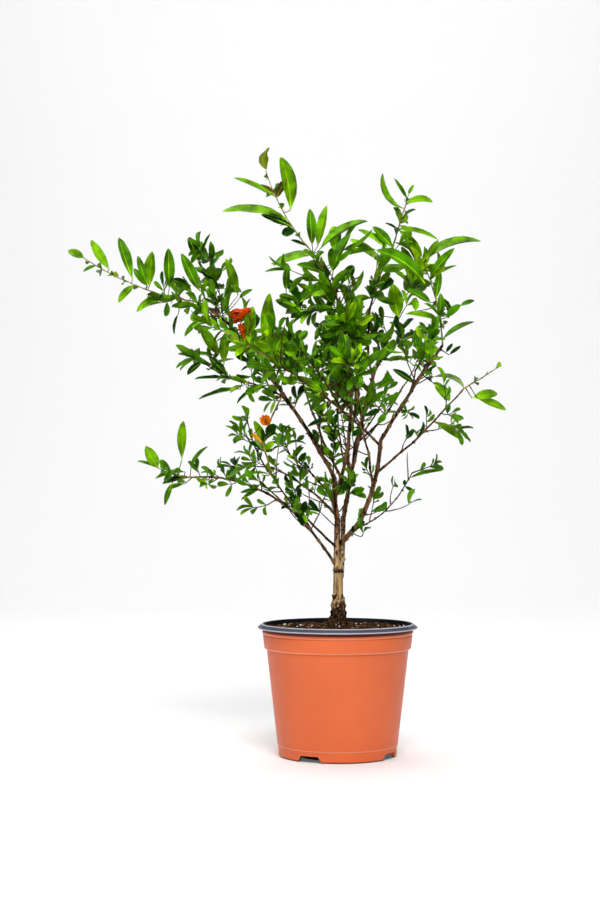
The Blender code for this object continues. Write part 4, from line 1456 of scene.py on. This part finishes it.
def grow_thin_stems(foliage, paths):
    """Long thin stems, bare below and leafy at the end."""
    for name, (count, first, last) in THIN_STEMS.items():
        dice = random.Random(name + " thin stems")
        for _, start, way in shoots_up(paths[name], dice, "thin stem", count, first, last):
            length = dice.uniform(*THIN_STEM_LENGTHS)
            bow = (dice.uniform(-5, 5), dice.uniform(-5, 5), 0)
            stem = make_path(start, start + way * length, bow)
            add_stem(foliage.twigs, stem, *THIN_STEM_RADII, dice.uniform(0, 90), 7)
            green = dice.choice(SPRAY_TONES["mix"])
            add_pairs(foliage, stem, dice.uniform(13, 18), green, dice, 0.6, 9)
            add_tuft(foliage, stem, dice.uniform(14, 19), green, dice, 3)


def grow_side_stems(foliage, paths):
    """Slender stems with a few leaves, between the boughs near the fork."""
    dice = random.Random(41)
    for parent, along, tip, bow, foot, end in SIDE_STEMS:
        path = make_path(point_on(paths[parent], along), tip, bow)
        add_stem(foliage.twigs, path, foot, end, dice.uniform(0, 90), 8)
        add_tuft(foliage, path, dice.uniform(13, 18), dice.choice(("dark", "mid", "bright")), dice, 3)


def make_foliage(paths, materials):
    foliage = Foliage()
    grow_side_stems(foliage, paths)
    grow_leading_leaves(foliage, paths)
    grow_sprays(foliage, paths)
    grow_thin_stems(foliage, paths)
    for name in LEAF_MASSES:
        grow_mass(foliage, name, paths)
    grow_twigs(foliage, paths)
    for green, pile in foliage.greens.items():
        name = "leaves_" + green
        piece = make_piece(name, pile, materials[name], LEAF_EDGE_DEG)
        if green == "mid":
            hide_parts(*LEAF_MASSES)
    make_piece("leaf_backs", foliage.backs, materials["leaf_backs"], LEAF_BACK_EDGE_DEG)
    make_piece("leaf_ribs", foliage.ribs, materials["leaf_ribs"], LEAF_BACK_EDGE_DEG)
    make_piece("twigs", foliage.twigs, materials["twigs"], BARK_EDGE_DEG)
    make_piece("young_shoots", foliage.shoots, materials["young_shoots"], BARK_EDGE_DEG)


# Blossom


def flower_axes(foot, mouth):
    """A flower's foot, the length and direction to its mouth, and two directions square to it."""
    foot = np.array(foot, float)
    length = np.linalg.norm(np.array(mouth) - foot)
    axis = unit(np.array(mouth) - foot)
    across = square_to(np.array((0.2, -0.5, 1.0)), axis)
    return foot, length, axis, across, np.cross(axis, across)


def add_calyx(pile, foot, mouth, widest, dice):
    """A waxy tube whose end is split into six pointed lobes, as one closed wall."""
    foot, length, axis, across, beside = flower_axes(foot, mouth)
    turn = dice.uniform(0, TAU)
    rows = [(share, 0) for share in np.linspace(0, 1, 12)]
    rows += [(share, CALYX_WALL) for share in np.linspace(1, 0.35, 6)]
    rings = []
    for share, inset in rows:
        ring = []
        for side in range(CALYX_SIDES):
            angle = TAU * side / CALYX_SIDES
            tooth = abs(((PETALS * side / CALYX_SIDES + turn) % 1) * 2 - 1)
            cleft = 0.30 * tooth**1.3 * max(0.0, (share - 0.55) / 0.45)
            radius = widest * np.interp(share - cleft * 0.5, CALYX_PLACES, CALYX_RADII) - inset
            radius *= 1 + 0.06 * relief(angle, 2, (0, 0, share * 4 + widest))
            offset = across * math.cos(angle) + beside * math.sin(angle)
            ring.append(foot + axis * ((share - cleft) * length) + offset * max(radius, 0.2))
        rings.append(ring)
    pile.add(*closed_rings(rings, foot, foot + axis * length * 0.33))


def add_petals(pile, foot, mouth, widest, dice):
    """Crumpled petals standing out of a calyx."""
    foot, length, axis, across, beside = flower_axes(foot, mouth)
    for petal in range(PETALS):
        turn = TAU * petal / PETALS + dice.uniform(-0.3, 0.3)
        seed = dice.uniform(0, 60)
        out = across * math.cos(turn) + beside * math.sin(turn)
        side = np.cross(axis, out)
        points = []
        for up in np.linspace(0, 1, PETAL_GRID):
            half = widest * 0.62 * math.sin(math.pi * (0.12 + 0.8 * up)) ** 0.7
            for aside in np.linspace(-1, 1, PETAL_GRID):
                crumple = noise.noise(Vector((up * 3, aside * 2.2, seed))) * widest * 0.42 * up
                reach = length * (0.55 + 0.62 * up) - abs(aside) * widest * 0.18
                flare = widest * (0.42 + 0.45 * up**2) + crumple
                points.append(foot + axis * reach + out * flare + side * aside * half)
        pile.add(points, grid_faces(PETAL_GRID, PETAL_GRID))


def add_stamens(pile, foot, mouth, widest, dice):
    """A brush of thin stamens with round ends inside the mouth."""
    foot, length, axis, across, beside = flower_axes(foot, mouth)
    for _ in range(STAMENS):
        turn = dice.uniform(0, TAU)
        out = (across * math.cos(turn) + beside * math.sin(turn)) * widest * 0.55 * dice.random() ** 0.5
        start = foot + axis * length * 0.5 + out * 0.8
        tip = foot + axis * length * dice.uniform(0.85, 1.04) + out
        path = make_path(start, tip, (0, 0, 0))
        add_tube(pile, [point_on(path, share) for share in STAMEN_PLACES], STAMEN_RADII, 6)


def bud_radius(share, angle, widest):
    return widest * np.interp(share, BUD_PLACES, BUD_RADII) * (1 + 0.06 * math.cos(6 * angle))


def make_buds(materials):
    """Ribbed, swollen buds with narrow beaks."""
    pile = Pile()
    for foot, tip, widest, beak in BUDS:
        path = make_path(foot, tip, beak)
        add_rough_tube(pile, path, np.linspace(0, 1, BUD_STEPS), BUD_SIDES, bud_radius, widest)
    make_piece("flower_buds", pile, materials["flower_buds"], BLOSSOM_EDGE_DEG)


def make_blossom(paths, materials):
    dice = random.Random(31)
    stamens, stalks = Pile(), Pile()
    calyxes = {name: Pile() for name in BLOSSOM_COLOURS}
    petals = {name: Pile() for name in BLOSSOM_COLOURS}
    for foot, mouth, widest, kind, limb, share in FLOWERS:
        stalk = make_path(point_on(paths[limb], share), foot, (0, 0, 2))
        add_stem(stalks, stalk, 0.8, 1.0, dice.uniform(0, 90), 8)
        add_calyx(calyxes[kind], foot, mouth, widest, dice)
        add_petals(petals[kind], foot, mouth, widest, dice)
        add_stamens(stamens, foot, mouth, widest, dice)
    for kind in BLOSSOM_COLOURS:
        make_piece("calyx_" + kind, calyxes[kind], materials[kind], BLOSSOM_EDGE_DEG)
        make_piece("petals_" + kind, petals[kind], materials[kind], ALL_SMOOTH_DEG)
    make_piece("flower_stalks", stalks, materials["young_shoots"], BARK_EDGE_DEG)
    make_piece("flower_stamens", stamens, materials["flower_stamens"], BLOSSOM_EDGE_DEG)


# Studio


def glowing_material(nodes, tone, glow):
    nodes.shader.inputs["Emission Color"].default_value = (1, 1, 1, 1)
    nodes.shader.inputs["Emission Strength"].default_value = glow
    nodes.tree.links.new(tone, nodes.shader.inputs["Base Color"])
    return nodes.material


def make_backdrop():
    """A pale floor that curves up into a wall far behind the plant."""
    nodes = Nodes("backdrop", 0.9)
    tone = nodes.blend(nodes.noise(1.0, 2), tinted(BACKDROP_WHITE, 0.995), tinted(BACKDROP_WHITE, 1.005))
    profile = [(BACKDROP_FRONT, 0.0), (BACKDROP_BACK, 0.0)]
    for step in range(1, CURVE_STEPS + 1):
        turn = math.pi / 2 * step / CURVE_STEPS
        rise = BACKDROP_CURVE * (1 - math.cos(turn))
        profile.append((BACKDROP_BACK + BACKDROP_CURVE * math.sin(turn), rise))
    profile.append((BACKDROP_BACK + BACKDROP_CURVE, BACKDROP_TOP))
    points = [(x, y, z) for y, z in profile for x in (-BACKDROP_SIDE, BACKDROP_SIDE)]
    material = glowing_material(nodes, tone, BACKDROP_GLOW)
    floor = new_object("backdrop", points, grid_faces(len(profile), 2), material, 1.0)
    floor.data.shade_smooth()


def make_dome():
    """Far pale walls all round, which are seen but give no light."""
    nodes = Nodes("dome", 1.0, 0.0)
    tone = nodes.blend(nodes.noise(0.1, 2), grey(0.0), grey(0.01))
    material = glowing_material(nodes, tone, DOME_GLOW)
    points, faces = ball(4)
    dome = new_object("dome", points, faces, material, DOME_RADIUS)
    dome.visible_diffuse = False
    dome.visible_glossy = False
    dome.visible_transmission = False
    dome.visible_shadow = False


def make_lights():
    for name, (place, target, size, power) in LIGHTS.items():
        light = bpy.data.lights.new(name, "AREA")
        light.shape = "RECTANGLE"
        light.size, light.size_y = size
        light.energy = power
        thing = bpy.data.objects.new(name, light)
        thing.location = place
        thing.rotation_euler = (Vector(target) - Vector(place)).to_track_quat("-Z", "Y").to_euler()
        bpy.context.scene.collection.objects.link(thing)
    world = bpy.data.worlds.new("studio")
    world.use_nodes = True
    background = world.node_tree.nodes["Background"]
    background.inputs["Color"].default_value = (1, 1, 1, 1)
    background.inputs["Strength"].default_value = SKY_LIGHT
    bpy.context.scene.world = world
    bpy.context.scene.view_settings.view_transform = "Standard"


def make_camera():
    camera = bpy.data.cameras.new("camera")
    camera.lens = CAMERA_LENS
    camera.sensor_width = CAMERA_SENSOR
    thing = bpy.data.objects.new("camera", camera)
    thing.location = CAMERA_PLACE
    thing.rotation_euler = (math.radians(90 + CAMERA_PITCH_DEG), 0, 0)
    bpy.context.scene.collection.objects.link(thing)
    bpy.context.scene.camera = thing


def main():
    make_camera()
    make_backdrop()
    make_dome()
    make_lights()
    materials = make_materials()
    make_pot(materials)
    make_rim(materials)
    make_soil(materials)
    for name in SOIL_BITS:
        strew(name, materials[name])
    paths = lay_out_paths()
    make_trunk(materials)
    make_boughs(paths, materials)
    make_foliage(paths, materials)
    make_blossom(paths, materials)
    make_buds(materials)


main()
